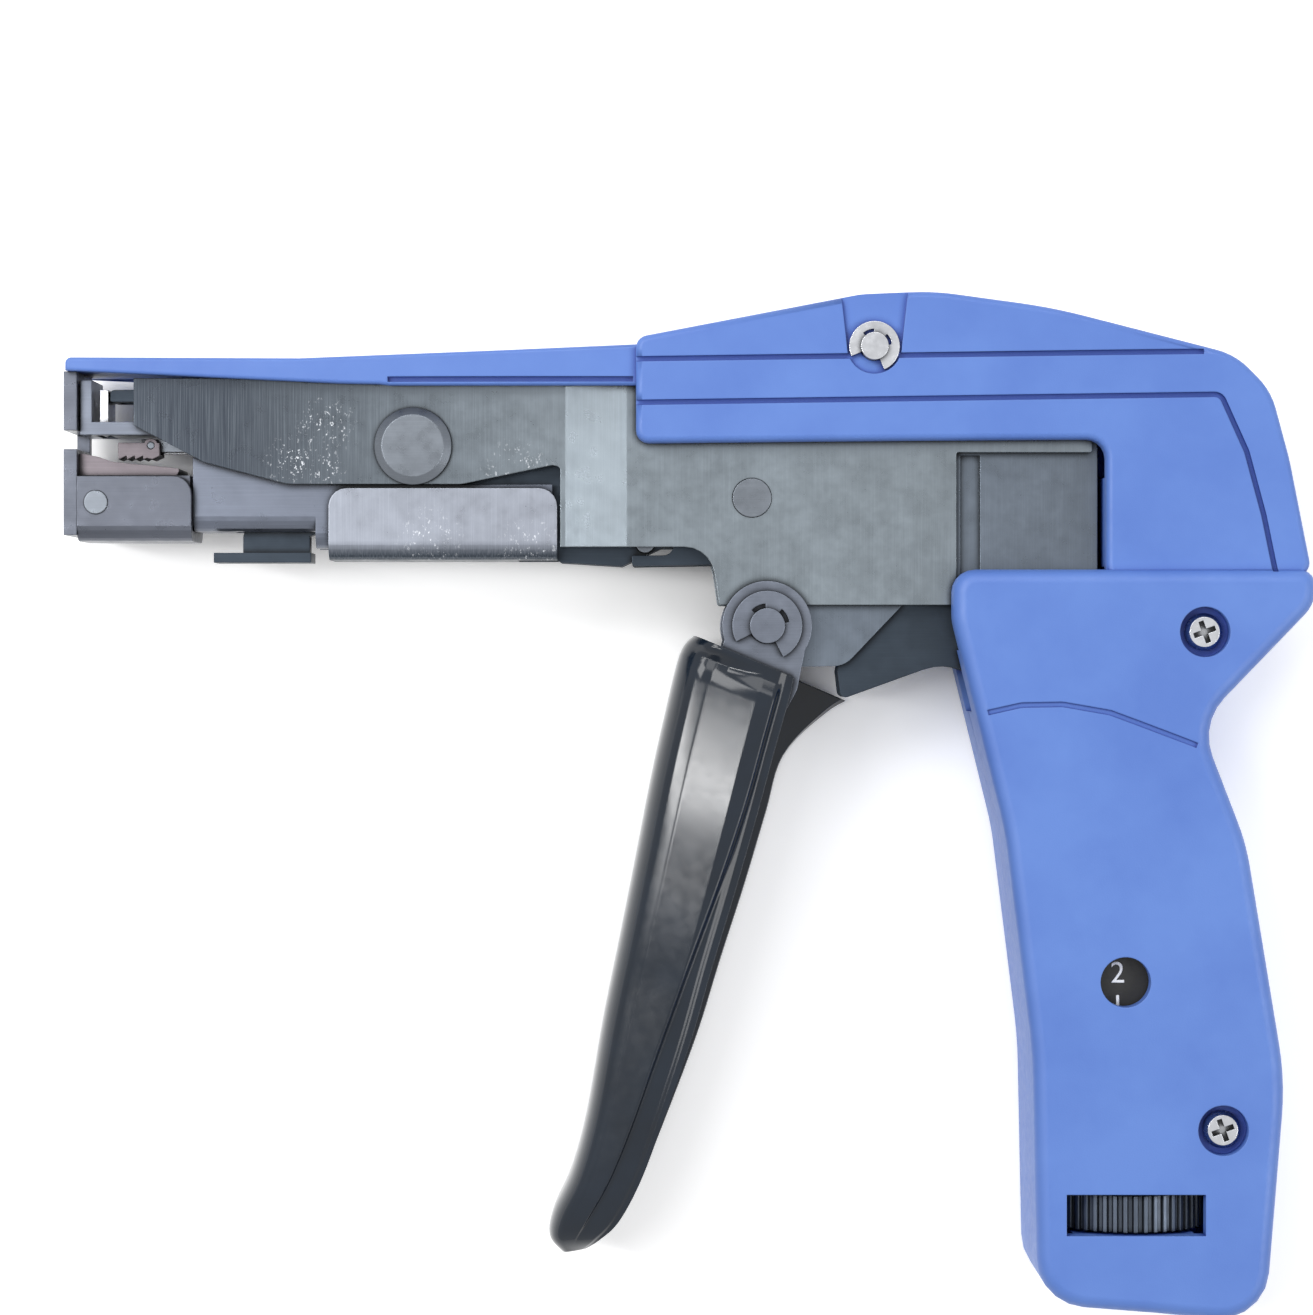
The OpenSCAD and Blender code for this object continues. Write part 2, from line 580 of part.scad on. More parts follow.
module housing_near() at_mid() color("royalblue") {
    difference() {
        housing_half();
        post(screw_at[0], screw_bore_d / 2, grip_z - bore_depth, grip_z + over);
        post(screw_at[1], screw_bore_d / 2, grip_z - bore_depth, grip_z + over);
        post(window_at, window_r, 0, grip_z + over);
    }
}

module housing_far() at_mid() color("royalblue") {
    difference() {
        mirror([0, 0, 1])
            housing_half();
        for (at = screw_at)
            translate([at[0], at[1], -grip_z - over])
                hex(nut_r + fit, bore_depth + over);
    }
}

// A side plate: its outline cut from a sheet that is pressed inwards ahead of the step
module side_plate() color("dimgray") {
    difference() {
        intersection() {
            plate(on_frame(side_plate_shares), front_z - over, frame_z + over);
            translate([frame_x, frame_y + 2 * frame_h, 0])
                rotate([90, 0, 0])
                    linear_extrude(3 * frame_h)
                        polygon([[-over, front_z], [step_shares[0] * frame_len, front_z],
                            [step_shares[1] * frame_len, main_z], [2 * frame_len, main_z],
                            [2 * frame_len, frame_z], [step_shares[1] * frame_len, frame_z],
                            [step_shares[0] * frame_len, front_z + plate_t], [-over, front_z + plate_t]]);
        }
        post(rocker_at, rivet_head_r + fit, main_z - over, frame_z + over);
        post(cutter_at, rivet_r + fit, front_z - over, frame_z + over);
        post(upper_at, upper_pin_d / 2 + fit, main_z - over, frame_z + over);
        post(trigger_at, washer_r + play, main_z - over, frame_z + over);
    }
}

module side_plate_near() at_mid()
    side_plate();

module side_plate_far() at_mid()
    mirror([0, 0, 1])
        side_plate();

module pivot_plates() at_mid() color("dimgray")
    both_sides()
        difference() {
            plate(on_frame(pivot_plate_shares), inner_z, main_z);
            post(rocker_at, rocker_shank_r + fit, inner_z - over, main_z + over);
            post(trigger_at, trigger_pin_d / 2 + fit, inner_z - over, main_z + over);
        }

// Bracket behind the inner plates, folded over a rear wall that stands in the housing
module rear_bracket() at_mid() color("dimgray") {
    high = high_of(bracket_wall_shares);
    both_sides()
        difference() {
            plate(on_frame(bracket_shares), inner_z, main_z);
            block([low_of(bracket_groove_shares)[0], low_of(bracket_groove_shares)[1], main_z - inner_t / 2],
                [high_of(bracket_groove_shares)[0], high_of(bracket_groove_shares)[1], main_z + over]);
        }
    block([low_of(bracket_wall_shares)[0], low_of(bracket_wall_shares)[1], -inner_z - over],
        [high[0], high[1], inner_z + over]);
}

// Way of the cutter lever's tail out through the floor of the barrel
module tail_slot() {
    block([low_of(tail_slot_shares)[0], low_of(tail_slot_shares)[1], inner_t - front_z],
        [high_of(tail_slot_shares)[0], high_of(tail_slot_shares)[1], front_z - inner_t]);
}

module barrel_channel() at_mid() color("dimgray") {
    leg = low_of(leg_slot_shares);
    difference() {
        union() {
            folded_channel(low_of(channel_front_shares), high_of(channel_front_shares), front_z, inner_t, bend_r);
            folded_channel(low_of(channel_rear_shares), high_of(channel_rear_shares), front_z, inner_t, bend_r);
        }
        block([leg[0], leg[1], -cheek_z], [high_of(leg_slot_shares)[0], high_of(leg_slot_shares)[1], cheek_z]);
        plate(on_frame(channel_trim_shares), -frame_z, frame_z);
        tail_slot();
    }
}

// A folded wrap with its upper corners rounded
module wrap(shares, t, bend, round_front) {
    low = low_of(shares);
    high = high_of(shares);
    intersection() {
        folded_channel(low, high, front_z + t, t, bend);
        plate(rounded([[low[0], low[1] - over, 0], [low[0], high[1], round_front ? wrap_round : 0],
            [high[0], high[1], wrap_round], [high[0], low[1] - over, 0]]), -frame_z, frame_z);
    }
}

module channel_clip() at_mid() color("gray")
    difference() {
        wrap(clip_shares, plate_t, bend_r, true);
        tail_slot();
    }

module nose_box() at_mid() color("dimgray")
    difference() {
        wrap(nose_box_shares, plate_t, bend_r, false);
        post(nose_pin_at, nose_pin_r, -frame_z, frame_z);
    }

module nose_block() at_mid() color("dimgray")
    difference() {
        block([low_of(nose_block_shares)[0], low_of(nose_block_shares)[1], -front_z],
            [high_of(nose_block_shares)[0], high_of(nose_block_shares)[1], front_z]);
        post(nose_pin_at, nose_pin_r, -frame_z, frame_z);
        block([low_of(nose_pocket_shares)[0], low_of(nose_pocket_shares)[1], -cheek_z - cheek_t],
            [high_of(nose_pocket_shares)[0], high_of(nose_pocket_shares)[1], cheek_z + cheek_t]);
    }

module nose_pin() at_mid() color("gray")
    post(nose_pin_at, nose_pin_r, -front_z - plate_t - pin_proud, front_z + plate_t + pin_proud);

// Front face of the nose, slotted from the near side for the tie
module nose_face() at_mid() color("dimgray") {
    low = low_of(nose_face_shares);
    high = high_of(nose_face_shares);
    slot_y = frame_y + tie_slot_share * frame_h;
    difference() {
        block([low[0], low[1], -front_z - plate_t], [high[0], high[1], front_z + plate_t]);
        block([low[0] - over, slot_y, -front_z], [high[0] + over, slot_y + tie_gap, frame_z + over]);
    }
}

// Upper guide of the tie: a flat tab with a slot for the blade, folded down from an upright flange
module tie_guide() at_mid() color("gray")
    difference() {
        union() {
            block([low_of(guide_tab_shares)[0], low_of(guide_tab_shares)[1], -front_z],
                [high_of(guide_tab_shares)[0], high_of(guide_tab_shares)[1], front_z]);
            block([low_of(guide_flange_shares)[0], low_of(guide_flange_shares)[1], -front_z],
                [high_of(guide_flange_shares)[0], high_of(guide_flange_shares)[1], front_z]);
        }
        block([low_of(blade_slot_shares)[0], low_of(blade_slot_shares)[1], -blade_w / 2 - play],
            [high_of(blade_slot_shares)[0], high_of(blade_slot_shares)[1], blade_w / 2 + play]);
    }

module wedge_plate() at_mid() color("gray")
    plate(on_frame(wedge_shares), -front_z + play, front_z - play);

// Rivet with domed heads along Z
module domed_rivet(at, shank, head, low, dome) {
    translate([at[0], at[1], 0])
        rotate_extrude()
            polygon([[0, -low - dome], [head * dome_flat_share, -low - dome], [head, -low - dome / 3], [head, -low],
                [shank, -low], [shank, low], [head, low], [head, low + dome / 3],
                [head * dome_flat_share, low + dome], [0, low + dome]]);
}

module cutter_rivet() at_mid() color("dimgray")
    domed_rivet(cutter_at, rivet_r, cutter_head_r, front_z + plate_t, dome_h);

module rocker_rivet() at_mid() color("gray") {
    post(rocker_at, rocker_shank_r, -main_z, main_z);
    both_sides()
        post(rocker_at, rivet_head_r, main_z, frame_z + pin_proud);
}

// Pin with a groove for its clip on the near side and a head on the far side
module headed_pin(at, r, groove_z, groove_t, top, head_low) {
    difference() {
        post(at, r, -head_low, top);
        difference() {
            post(at, r + over, groove_z, groove_z + groove_t);
            post(at, r * clip_groove_share - fit, groove_z - over, groove_z + groove_t + over);
        }
    }
    post(at, r * pin_head_share, -head_low - clip_t, -head_low);
}

module upper_pin() at_mid() color("silver")
    headed_pin(upper_at, upper_pin_d / 2, upper_clip_z, clip_t + fit, upper_clip_z + 2 * clip_t,
        head_z - groove_depth + fit);

module upper_pin_clip() at_mid() color("silver")
    e_clip(upper_at, upper_pin_d / 2, upper_clip_r, upper_clip_z, upper_clip_z + clip_t, upper_clip_way);

module trigger_pin() at_mid() color("gray")
    headed_pin(trigger_at, trigger_pin_d / 2, ear_z + ear_t + fit, clip_t + fit, ear_z + ear_t + 2 * clip_t,
        ear_z + ear_t + fit);

module trigger_pin_clip() at_mid() color("dimgray")
    e_clip(trigger_at, trigger_pin_d / 2, trigger_clip_r, ear_z + ear_t + fit, ear_z + ear_t + fit + clip_t,
        trigger_clip_way);

module spacer_washers() at_mid() color("gray")
    both_sides()
        difference() {
            post(trigger_at, washer_r, main_z + fit, ear_z - fit);
            post(trigger_at, trigger_pin_d / 2 + fit, main_z - over, ear_z + over);
        }

module trigger_ears() at_mid() color("darkgray")
    difference() {
        union() {
            both_sides() {
                post(trigger_at, ear_r, ear_z, ear_z + ear_t);
                plate(on_trigger(ear_shares), ear_z, ear_z + ear_t);
            }
            plate(on_trigger(ear_web_shares), -ear_z - ear_t / 2, ear_z + ear_t / 2);
        }
        post(trigger_at, trigger_pin_d / 2 + fit, -frame_t, frame_t);
    }

// Points of a smooth curve through control points
function smooth(pts, steps) = let (n = len(pts)) [for (i = [0:n - 2], k = [0:steps - (i < n - 2 ? 1 : 0)])
    let (t = k / steps, p = pts[max(i - 1, 0)], a = pts[i], b = pts[i + 1], q = pts[min(i + 2, n - 1)])
    0.5 * (2 * a + (b - p) * t + (2 * p - 5 * a + 4 * b - q) * t * t + (3 * a - 3 * b + q - p) * t * t * t)];

// Half of the handle's cross-section, from its open rear edge to its round front: depth share, width share
handle_half_shares = [[0, 1], [0.1, 1], [0.17, 1.05], [0.6, 1.05], [0.75, 1.03], [0.86, 0.94], [0.94, 0.76],
    [0.98, 0.5], [0.995, 0.25]];
// Width of the handle at each station from its top to its tip, as shares of its full width
handle_width_shares = [1, 1, 1, 1, 0.98, 0.96, 0.93, 0.9, 0.87, 0.8, 0.66, 0.4];

// Stamped U-shaped handle, lofted from its top to its round tip
module trigger_handle() at_mid() color("black") {
    at = trigger_at + trigger_clip_r * handle_corner_shares;
    rear = smooth([for (s = handle_rear_shares) at + trigger_len * s], 2);
    deep = smooth([for (s = handle_deep_shares) trigger_w * s], 2);
    width = smooth([for (s = handle_width_shares) [s, 0]], 2);
    extra = smooth([for (s = handle_far_shares) [s, 0]], 2);
    half = handle_half_shares;
    m = len(half);
    whole = [each half, [1, 0], for (i = [m - 1:-1:0]) [half[i][0], -half[i][1]]];
    count = len(whole);
    n = 2 * count;
    full = ear_z + ear_t + fit + trigger_wall;
    last = len(rear) - 1;
    rings = [for (i = [0:last])
        let (a = rear[i], d = deep[i], w = full * width[i][0],
            k = 1 - min(0.45, trigger_wall / norm(d)), kw = 1 - trigger_wall / w,
            x = [for (j = [0:count - 1]) j < count - 1 ? whole[j][0] : -max(0, extra[i][0])])
        [for (j = [0:count - 1]) [a[0] + d[0] * x[j], a[1] + d[1] * x[j], w * whole[j][1]],
            for (j = [count - 1:-1:0])
            [a[0] + d[0] * x[j] * k, a[1] + d[1] * x[j] * k, w * whole[j][1] * kw]]];
    tail = last * n;
    polyhedron(points = [for (ring = rings) each ring], faces = [
        for (i = [0:last - 1], j = [0:n - 1]) let (a = i * n, b = a + n, k = (j + 1) % n)
            each [[a + j, a + k, b + k], [a + j, b + k, b + j]],
        for (j = [0:count - 2]) each [[j, n - 2 - j, j + 1], [j, n - 1 - j, n - 2 - j],
            [tail + j, tail + j + 1, tail + n - 2 - j], [tail + j, tail + n - 2 - j, tail + n - 1 - j]]]);
}

// Swing of the rocker either side of its mid stroke
rocker_swing = trigger_angle / 2 * drive_reach / (norm(trigger_at - rocker_at) - drive_reach);
lean_of_pivots = atan2(trigger_at[0] - rocker_at[0], rocker_at[1] - trigger_at[1]);
upper_pin_of_rocker = leaning(rocker_at, rocker_up, -rocker_swing);
driven_pin = leaning(rocker_at, norm(trigger_at - rocker_at) - drive_reach,
    180 - lean_of_pivots - rocker_swing);
link_pin_r = link_pin_d / 2;

module drive_arm() at_mid() color("gray") {
    way = trigger_angle / 2 - lean_of_pivots;
    web = on_trigger(ear_web_shares);
    difference() {
        union() {
            plate(link(trigger_at, leaning(trigger_at, drive_reach + link_pin_r * drive_tip_share, way), arm_hub_r,
                link_pin_r + slot_play + arm_wall), -bar_z, bar_z);
            plate([[trigger_at[0] - arm_hub_r, trigger_at[1]], [trigger_at[0], trigger_at[1] - arm_hub_r],
                [web[2][0], web[2][1] + fit], [web[3][0], web[3][1] + fit]], -bar_z, bar_z);
        }
        post(trigger_at, trigger_pin_d / 2 + fit, -frame_z, frame_z);
        plate(link(leaning(trigger_at, drive_reach - fit, way), leaning(trigger_at, drive_reach + slot_rise, way),
            link_pin_r + slot_play, link_pin_r + slot_play - fit / 10), -frame_z, frame_z);
    }
}

// Torsion spring round the trigger pin, with one leg up into the frame and one down the handle
module trigger_spring() at_mid() color("silver")
    translate([trigger_at[0], trigger_at[1], bar_z + play + spring_wire / 2])
        coil(trigger_coil_r, spring_wire, trigger_coil_turns, inner_z - bar_z - 2 * play - spring_wire, spring_leg);

module rocker() at_mid() color("gray")
    difference() {
        union() {
            both_sides()
                plate(bent(upper_pin_of_rocker, rocker_at, driven_pin, link_pin_r + arm_wall), cheek_z,
                    cheek_z + cheek_t);
            post(rocker_at, rocker_hub_r, -cheek_z - cheek_t, cheek_z + cheek_t);
        }
        post(rocker_at, rocker_shank_r + fit, -frame_z, frame_z);
        for (at = [upper_pin_of_rocker, driven_pin])
            post(at, link_pin_r + fit / 2, -frame_z, frame_z);
    }

module rocker_pins() at_mid() color("silver")
    for (at = [upper_pin_of_rocker, driven_pin])
        post(at, link_pin_r, -cheek_z - cheek_t, cheek_z + cheek_t);

bar_y = rocker_at[1] + rocker_up * (1 + cos(rocker_swing)) / 2;

// Pull bar: slotted eye on the rocker, long bar over the cutter rivet, and a finger that carries the pawl
module pull_bar() at_mid() color("gray") {
    finger_low = low_of(finger_shares);
    finger_high = high_of(finger_shares);
    eye = upper_pin_of_rocker;
    difference() {
        union() {
            plate(rounded([for (c = [[-1, -1], [-1, 1], [1, 1], [1, -1]])
                [eye[0] + c[0] * eye_w / 2, bar_y + c[1] * eye_h / 2, eye_round]]), -bar_z, bar_z);
            block([finger_high[0] - bar_leg_w, bar_y - bar_h / 2, -bar_z], [eye[0], bar_y + bar_h / 2, bar_z]);
            block([finger_high[0] - bar_leg_w, finger_low[1], -bar_z], [finger_high[0], bar_y, bar_z]);
            block([finger_low[0], finger_low[1], -bar_z], [finger_high[0], finger_high[1], bar_z]);
        }
        plate(link([eye[0], rocker_at[1] + rocker_up * cos(rocker_swing) - play],
            [eye[0], rocker_at[1] + rocker_up + play], link_pin_r + slot_play, link_pin_r + slot_play - fit / 10),
            -frame_z, frame_z);
        post(pawl_at, pawl_pin_r, -frame_z, frame_z);
    }
}

module pawl_pin() at_mid() color("silver")
    post(pawl_at, pawl_pin_r, -tooth_w / 2, tooth_w / 2);

pawl_at = low_of(pawl_pin_shares);

// Gripping pawl: forked over the finger, with a row of slanted teeth below
module gripper_pawl() at_mid() color("darkgray") {
    low = low_of(pawl_shares);
    high = high_of(pawl_shares);
    pitch = (high[0] - low[0]) / teeth;
    difference() {
        union() {
            plate([[low[0], high[1]], [high[0], high[1]],
                for (i = [teeth:-1:1]) each [[low[0] + i * pitch, low[1] + tooth_h],
                    [low[0] + (i - 1) * pitch + over / 10, low[1]]], [low[0], low[1] + tooth_h]],
                -tooth_w / 2, tooth_w / 2);
            both_sides()
                plate(link(pawl_at, [pawl_at[0], low[1] + 2 * tooth_h], pawl_pin_r + pawl_wall,
                    pawl_pin_r + pawl_wall - fit), bar_z + fit, tooth_w / 2);
        }
        block([low_of(pawl_relief_shares)[0], low_of(pawl_relief_shares)[1], -bar_z - fit],
            [high_of(pawl_relief_shares)[0], high_of(pawl_relief_shares)[1], bar_z + fit]);
        post(pawl_at, pawl_pin_r + fit, -frame_z, frame_z);
    }
}

// Leaf under the finger, behind the pawl
module pawl_spring() at_mid() color("silver")
    block([low_of(leaf_shares)[0], high_of(leaf_shares)[1] - leaf_t, -bar_z / 2],
        [high_of(leaf_shares)[0], high_of(leaf_shares)[1], bar_z / 2]);

tail_pin_at = low_of(tail_pin_shares);

// Cutter lever: two cheeks about the rivet, joined by a hub, a web and the holder of the blade
module cutter_lever() at_mid() color("dimgray")
    difference() {
        union() {
            both_sides()
                plate(on_frame(lever_shares), cheek_z, cheek_z + cheek_t);
            post(cutter_at, lever_hub_r, -cheek_z - fit, cheek_z + fit);
            for (s = [lever_web_shares, blade_holder_shares])
                block([low_of(s)[0], low_of(s)[1], -cheek_z - fit], [high_of(s)[0], high_of(s)[1], cheek_z + fit]);
            plate(on_frame(leg_shares), -bar_z, bar_z);
            block([low_of(foot_shares)[0], low_of(foot_shares)[1], -foot_w / 2],
                [high_of(foot_shares)[0], high_of(foot_shares)[1], foot_w / 2]);
        }
        post(cutter_at, rivet_r + fit, -frame_z, frame_z);
        post(tail_pin_at, link_pin_r + fit / 2, -frame_z, frame_z);
    }

module cutter_blade() at_mid() color("silver") {
    low = low_of(blade_shares);
    high = high_of(blade_shares);
    translate([0, 0, -blade_w / 2])
        linear_extrude(blade_w)
            polygon([[low[0], low[1]], [low[0], high[1]], [high[0], high[1]], [high[0], low[1] + blade_bevel]]);
}

module lever_tail_pin() at_mid() color("silver")
    post(tail_pin_at, link_pin_r, -lever_z - lever_t, lever_z + lever_t);

module tension_lever() at_mid() color("dimgray")
    both_sides()
        difference() {
            plate(on_frame(tension_shares), lever_z, lever_z + lever_t);
            post(upper_at, upper_pin_d / 2 + fit, -frame_z, frame_z);
        }

cap_y = frame_y + tail_low_share * frame_h - play;

module spring_cap() at_mid() color("silver")
    translate([rod_x, cap_y, 0])
        rotate([90, 0, 0]) {
            cylinder(r = cap_r, h = cap_t);
            cylinder(r = coil_d / 2 - wire_d / 2 - play, h = cap_t + cap_spigot);
        }

nut_top = window_at[1] + nut_rise;

module tension_spring() at_mid() color("silver")
    translate([rod_x, nut_top + wire_d / 2 + fit, 0])
        rotate([-90, 0, 0])
            coil(coil_d / 2, wire_d, coil_turns, cap_y - cap_t - nut_top - wire_d - 2 * fit, 0);

// Rod turned by the wheel, with a reduced journal below
module threaded_rod() at_mid() color("silver")
    translate([rod_x, wheel_y - wheel_t / 2 - rib_gap - rib_t, 0])
        rotate([-90, 0, 0])
            cylinder(r = rod_d / 2, h = nut_top + rod_over - wheel_y + wheel_t / 2 + rib_gap + rib_t);

module tension_wheel() at_mid() color("black")
    translate([rod_x, wheel_y - wheel_t / 2, 0])
        rotate([-90, 0, 0])
            difference() {
                linear_extrude(wheel_t)
                    polygon([for (i = [0:2 * wheel_ribs - 1])
                        for (a = [180 * (i - 0.35) / wheel_ribs, 180 * (i + 0.35) / wheel_ribs])
                            (wheel_d / 2 - (i % 2) * knurl_depth) * [cos(a), sin(a)]]);
                translate([0, 0, -over])
                    cylinder(r = rod_d / 2 + fit / 2, h = wheel_t + 2 * over);
            }

// Nut that runs on the rod, with the scale that shows in the window
module number_carriage() at_mid() color("black") {
    difference() {
        block([rod_x - nut_w / 2, nut_top - nut_h, -nut_w / 2], [rod_x + nut_w / 2, nut_top, nut_w / 2]);
        translate([rod_x, nut_top - nut_h - over, 0])
            rotate([-90, 0, 0])
                cylinder(r = rod_d / 2 + fit, h = nut_h + 2 * over);
    }
    block([rod_x - scale_post_w / 2, nut_top - nut_h, nut_w / 2 - fit],
        [rod_x + scale_post_w / 2, nut_top, scale_z]);
    block([window_at[0] - window_r - play, window_at[1] - scale_down, scale_z],
        [window_at[0] + window_r + play, window_at[1] + scale_up, scale_z + scale_t]);
}

module housing_screws() at_mid() color("silver")
    for (at = screw_at) {
        head_low = grip_z - bore_depth + fit;
        difference() {
            translate([at[0], at[1], head_low])
                rotate_extrude()
                    polygon([[0, 0], [screw_head_d / 2, 0], [screw_head_d / 2, screw_head_h / 2],
                        [screw_head_d / 2 * dome_flat_share, screw_head_h], [0, screw_head_h]]);
            for (turn = [screw_turn, screw_turn + 90])
                translate([at[0], at[1], head_low + screw_head_h / 2])
                    rotate([0, 0, turn])
                        translate([-cross_l / 2, -cross_w / 2, 0])
                            cube([cross_l, cross_w, screw_head_h]);
        }
        post(at, screw_d / 2, -grip_z + bore_depth - nut_t, head_low);
    }

module housing_nuts() at_mid() color("silver")
    for (at = screw_at)
        difference() {
            translate([at[0], at[1], -grip_z + bore_depth - nut_t])
                hex(nut_r, nut_t - fit);
            post(at, screw_d / 2 + fit / 2, -grip_z - over, grip_z);
        }

housing_near();
housing_far();
side_plate_near();
side_plate_far();
pivot_plates();
rear_bracket();
barrel_channel();
channel_clip();
nose_face();
tie_guide();
wedge_plate();
nose_box();
nose_block();
nose_pin();
cutter_rivet();
rocker_rivet();
upper_pin();
upper_pin_clip();
trigger_pin();
trigger_pin_clip();
spacer_washers();
trigger_ears();
trigger_handle();
drive_arm();
trigger_spring();
rocker();
rocker_pins();
pull_bar();
pawl_pin();
gripper_pawl();
pawl_spring();
cutter_lever();
cutter_blade();
lever_tail_pin();
tension_lever();
spring_cap();
tension_spring();
threaded_rod();
tension_wheel();
number_carriage();
housing_screws();
housing_nuts();
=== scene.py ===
"""Looks of a cable tie tensioning tool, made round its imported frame.

Laid out as an add-on and run as a script. Lengths are in metres where Blender takes them, and in
millimetres in the outlines, where names say so or MM turns them.
"""

import math

import bmesh
import bpy
from bpy.props import FloatProperty, FloatVectorProperty, IntProperty
from mathutils import Matrix, Quaternion, Vector


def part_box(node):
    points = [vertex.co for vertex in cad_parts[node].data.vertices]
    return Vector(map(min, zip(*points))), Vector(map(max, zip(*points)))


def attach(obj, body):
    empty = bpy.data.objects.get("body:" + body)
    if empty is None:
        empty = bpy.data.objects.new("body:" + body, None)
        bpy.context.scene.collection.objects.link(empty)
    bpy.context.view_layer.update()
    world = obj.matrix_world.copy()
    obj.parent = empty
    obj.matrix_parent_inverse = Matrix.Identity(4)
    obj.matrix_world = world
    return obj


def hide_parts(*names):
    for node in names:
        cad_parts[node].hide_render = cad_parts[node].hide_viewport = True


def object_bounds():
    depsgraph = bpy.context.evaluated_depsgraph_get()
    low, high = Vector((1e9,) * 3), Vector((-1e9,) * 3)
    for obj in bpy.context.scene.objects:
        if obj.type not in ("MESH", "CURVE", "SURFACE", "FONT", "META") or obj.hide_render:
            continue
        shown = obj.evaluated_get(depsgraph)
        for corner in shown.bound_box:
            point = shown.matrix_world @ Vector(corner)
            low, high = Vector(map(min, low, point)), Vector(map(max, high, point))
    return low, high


bl_info = {
    "name": "Cable Tie Tensioner",
    "version": (1, 0, 0),
    "blender": (4, 5, 0),
    "location": "View3D > Sidebar > Tensioner",
    "description": "Moulded body, blackened steel barrel, enamelled trigger and stage of a cable tie tool",
    "category": "Object",
}

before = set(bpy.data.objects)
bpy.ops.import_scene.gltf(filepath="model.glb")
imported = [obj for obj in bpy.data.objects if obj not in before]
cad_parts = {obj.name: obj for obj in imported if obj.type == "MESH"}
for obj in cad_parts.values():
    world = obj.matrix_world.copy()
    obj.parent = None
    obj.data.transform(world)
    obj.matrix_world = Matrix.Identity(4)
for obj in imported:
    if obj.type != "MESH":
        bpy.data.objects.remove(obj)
CAD_BOX = [list(corner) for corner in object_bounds()]
MM = 0.001
# Height of the parting plane between the moulded halves, in millimetres
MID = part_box("housing_near")[0][2] / MM
# Most that the soft edges may take off the box of a moulding
LOST = 0.0003
# Points closer than this are one point
WELD = 1e-6


def colour(red, green, blue):
    """A screen colour of 0 to 255 as the linear colour that a shader takes."""
    def linear(value):
        value /= 255
        return value / 12.92 if value <= 0.04045 else ((value + 0.055) / 1.055) ** 2.4
    return (linear(red), linear(green), linear(blue))


def scaled(tone, factor, most=math.inf):
    """A colour made darker or lighter, with no part of it above most."""
    return tuple(min(most, part * factor) for part in tone)


def colour_property(name, description, default):
    return FloatVectorProperty(name=name, description=description, default=default,
                               subtype="COLOR", size=3, min=0, max=1)


def length_property(name, description, default):
    return FloatProperty(name=name, description=description, default=default, min=0,
                         unit="LENGTH", precision=5)


class BodyLook(bpy.types.PropertyGroup):
    blue: colour_property("Blue", "Colour of the moulded body", colour(97, 133, 208))
    shade: colour_property("Clouding", "Darker tone of the clouding in the moulding",
                           colour(87, 122, 199))
    # Painted shade in the grooves and gaps of the moulding
    groove_shade: colour_property("Grooves", "Tone in the grooves of the moulding", colour(36, 64, 150))
    grain: FloatProperty(name="Grain", description="Strength of the fine moulded grain",
                         default=0.22, min=0, max=1)
    head_edge: length_property("Upper edge radius", "Soft edge of the upper housing", 0.0009)
    grip_edge: length_property("Grip edge radius", "Soft edge of the grip", 0.0019)
    rail_edge: length_property("Rail edge radius", "Soft edge of the top rail", 0.0005)


class SteelLook(bpy.types.PropertyGroup):
    plate: colour_property("Plate", "Blackened side plates", colour(126, 135, 142))
    # Painted shade: the darker front of the side plates, and the shade in the gaps of the folded channel
    painted_shade_tone: colour_property("Dark plate", "Front of the side plates", colour(49, 55, 64))
    folded: colour_property("Folded parts", "Channel under the barrel", colour(104, 110, 123))
    nose: colour_property("Nose", "Face, box and block of the nose", colour(90, 94, 104))
    bracket: colour_property("Bracket", "Bracket and inner plates", colour(104, 113, 124))
    worn: colour_property("Worn clip", "Clip round the channel, rubbed bright",
                          colour(149, 154, 165))
    raw: colour_property("Bare steel", "Wedge plate and gripping teeth", colour(112, 105, 110))
    levers: colour_property("Levers", "Cutter lever and tension lever", colour(49, 58, 68))
    pins: colour_property("Pins", "Rivets and hidden links", colour(117, 123, 131))
    ears: colour_property("Ears", "Ears of the trigger, its pin and clip", colour(110, 116, 128))
    bright: colour_property("Bright parts", "Screws, springs and the upper clip",
                            colour(205, 207, 212))
    brush: FloatProperty(name="Brush marks", description="Strength of the rolling marks",
                         default=0.5, min=0, max=1)


class HandleLook(bpy.types.PropertyGroup):
    enamel: colour_property("Enamel", "Glossy enamel of the trigger handle", colour(19, 28, 39))
    panel_rise: length_property("Panel rise", "Height of the long pressed panel", 0.0009)
    wall: length_property("Wall", "Thickness of the pressed sheet", 0.0012)


class AdjusterLook(bpy.types.PropertyGroup):
    wheel: colour_property("Wheel", "Knurled wheel", colour(82, 91, 105))
    strip: colour_property("Scale", "Black strip behind the window", colour(12, 12, 13))
    figure: colour_property("Figures", "White figures of the scale", colour(238, 239, 240))
    figure_height: length_property("Figure height", "Height of the figures", 0.0028)
    turns: IntProperty(name="Turns", description="Turns of the tension spring", default=7,
                       min=3, max=12)


class StageLook(bpy.types.PropertyGroup):
    floor: colour_property("Floor", "Colour of the floor", colour(250, 250, 250))
    distance: length_property("Camera height", "Height of the camera above the tool", 0.4485)
    lens: FloatProperty(name="Lens", description="Focal length in millimetres", default=93,
                        min=20, max=200)


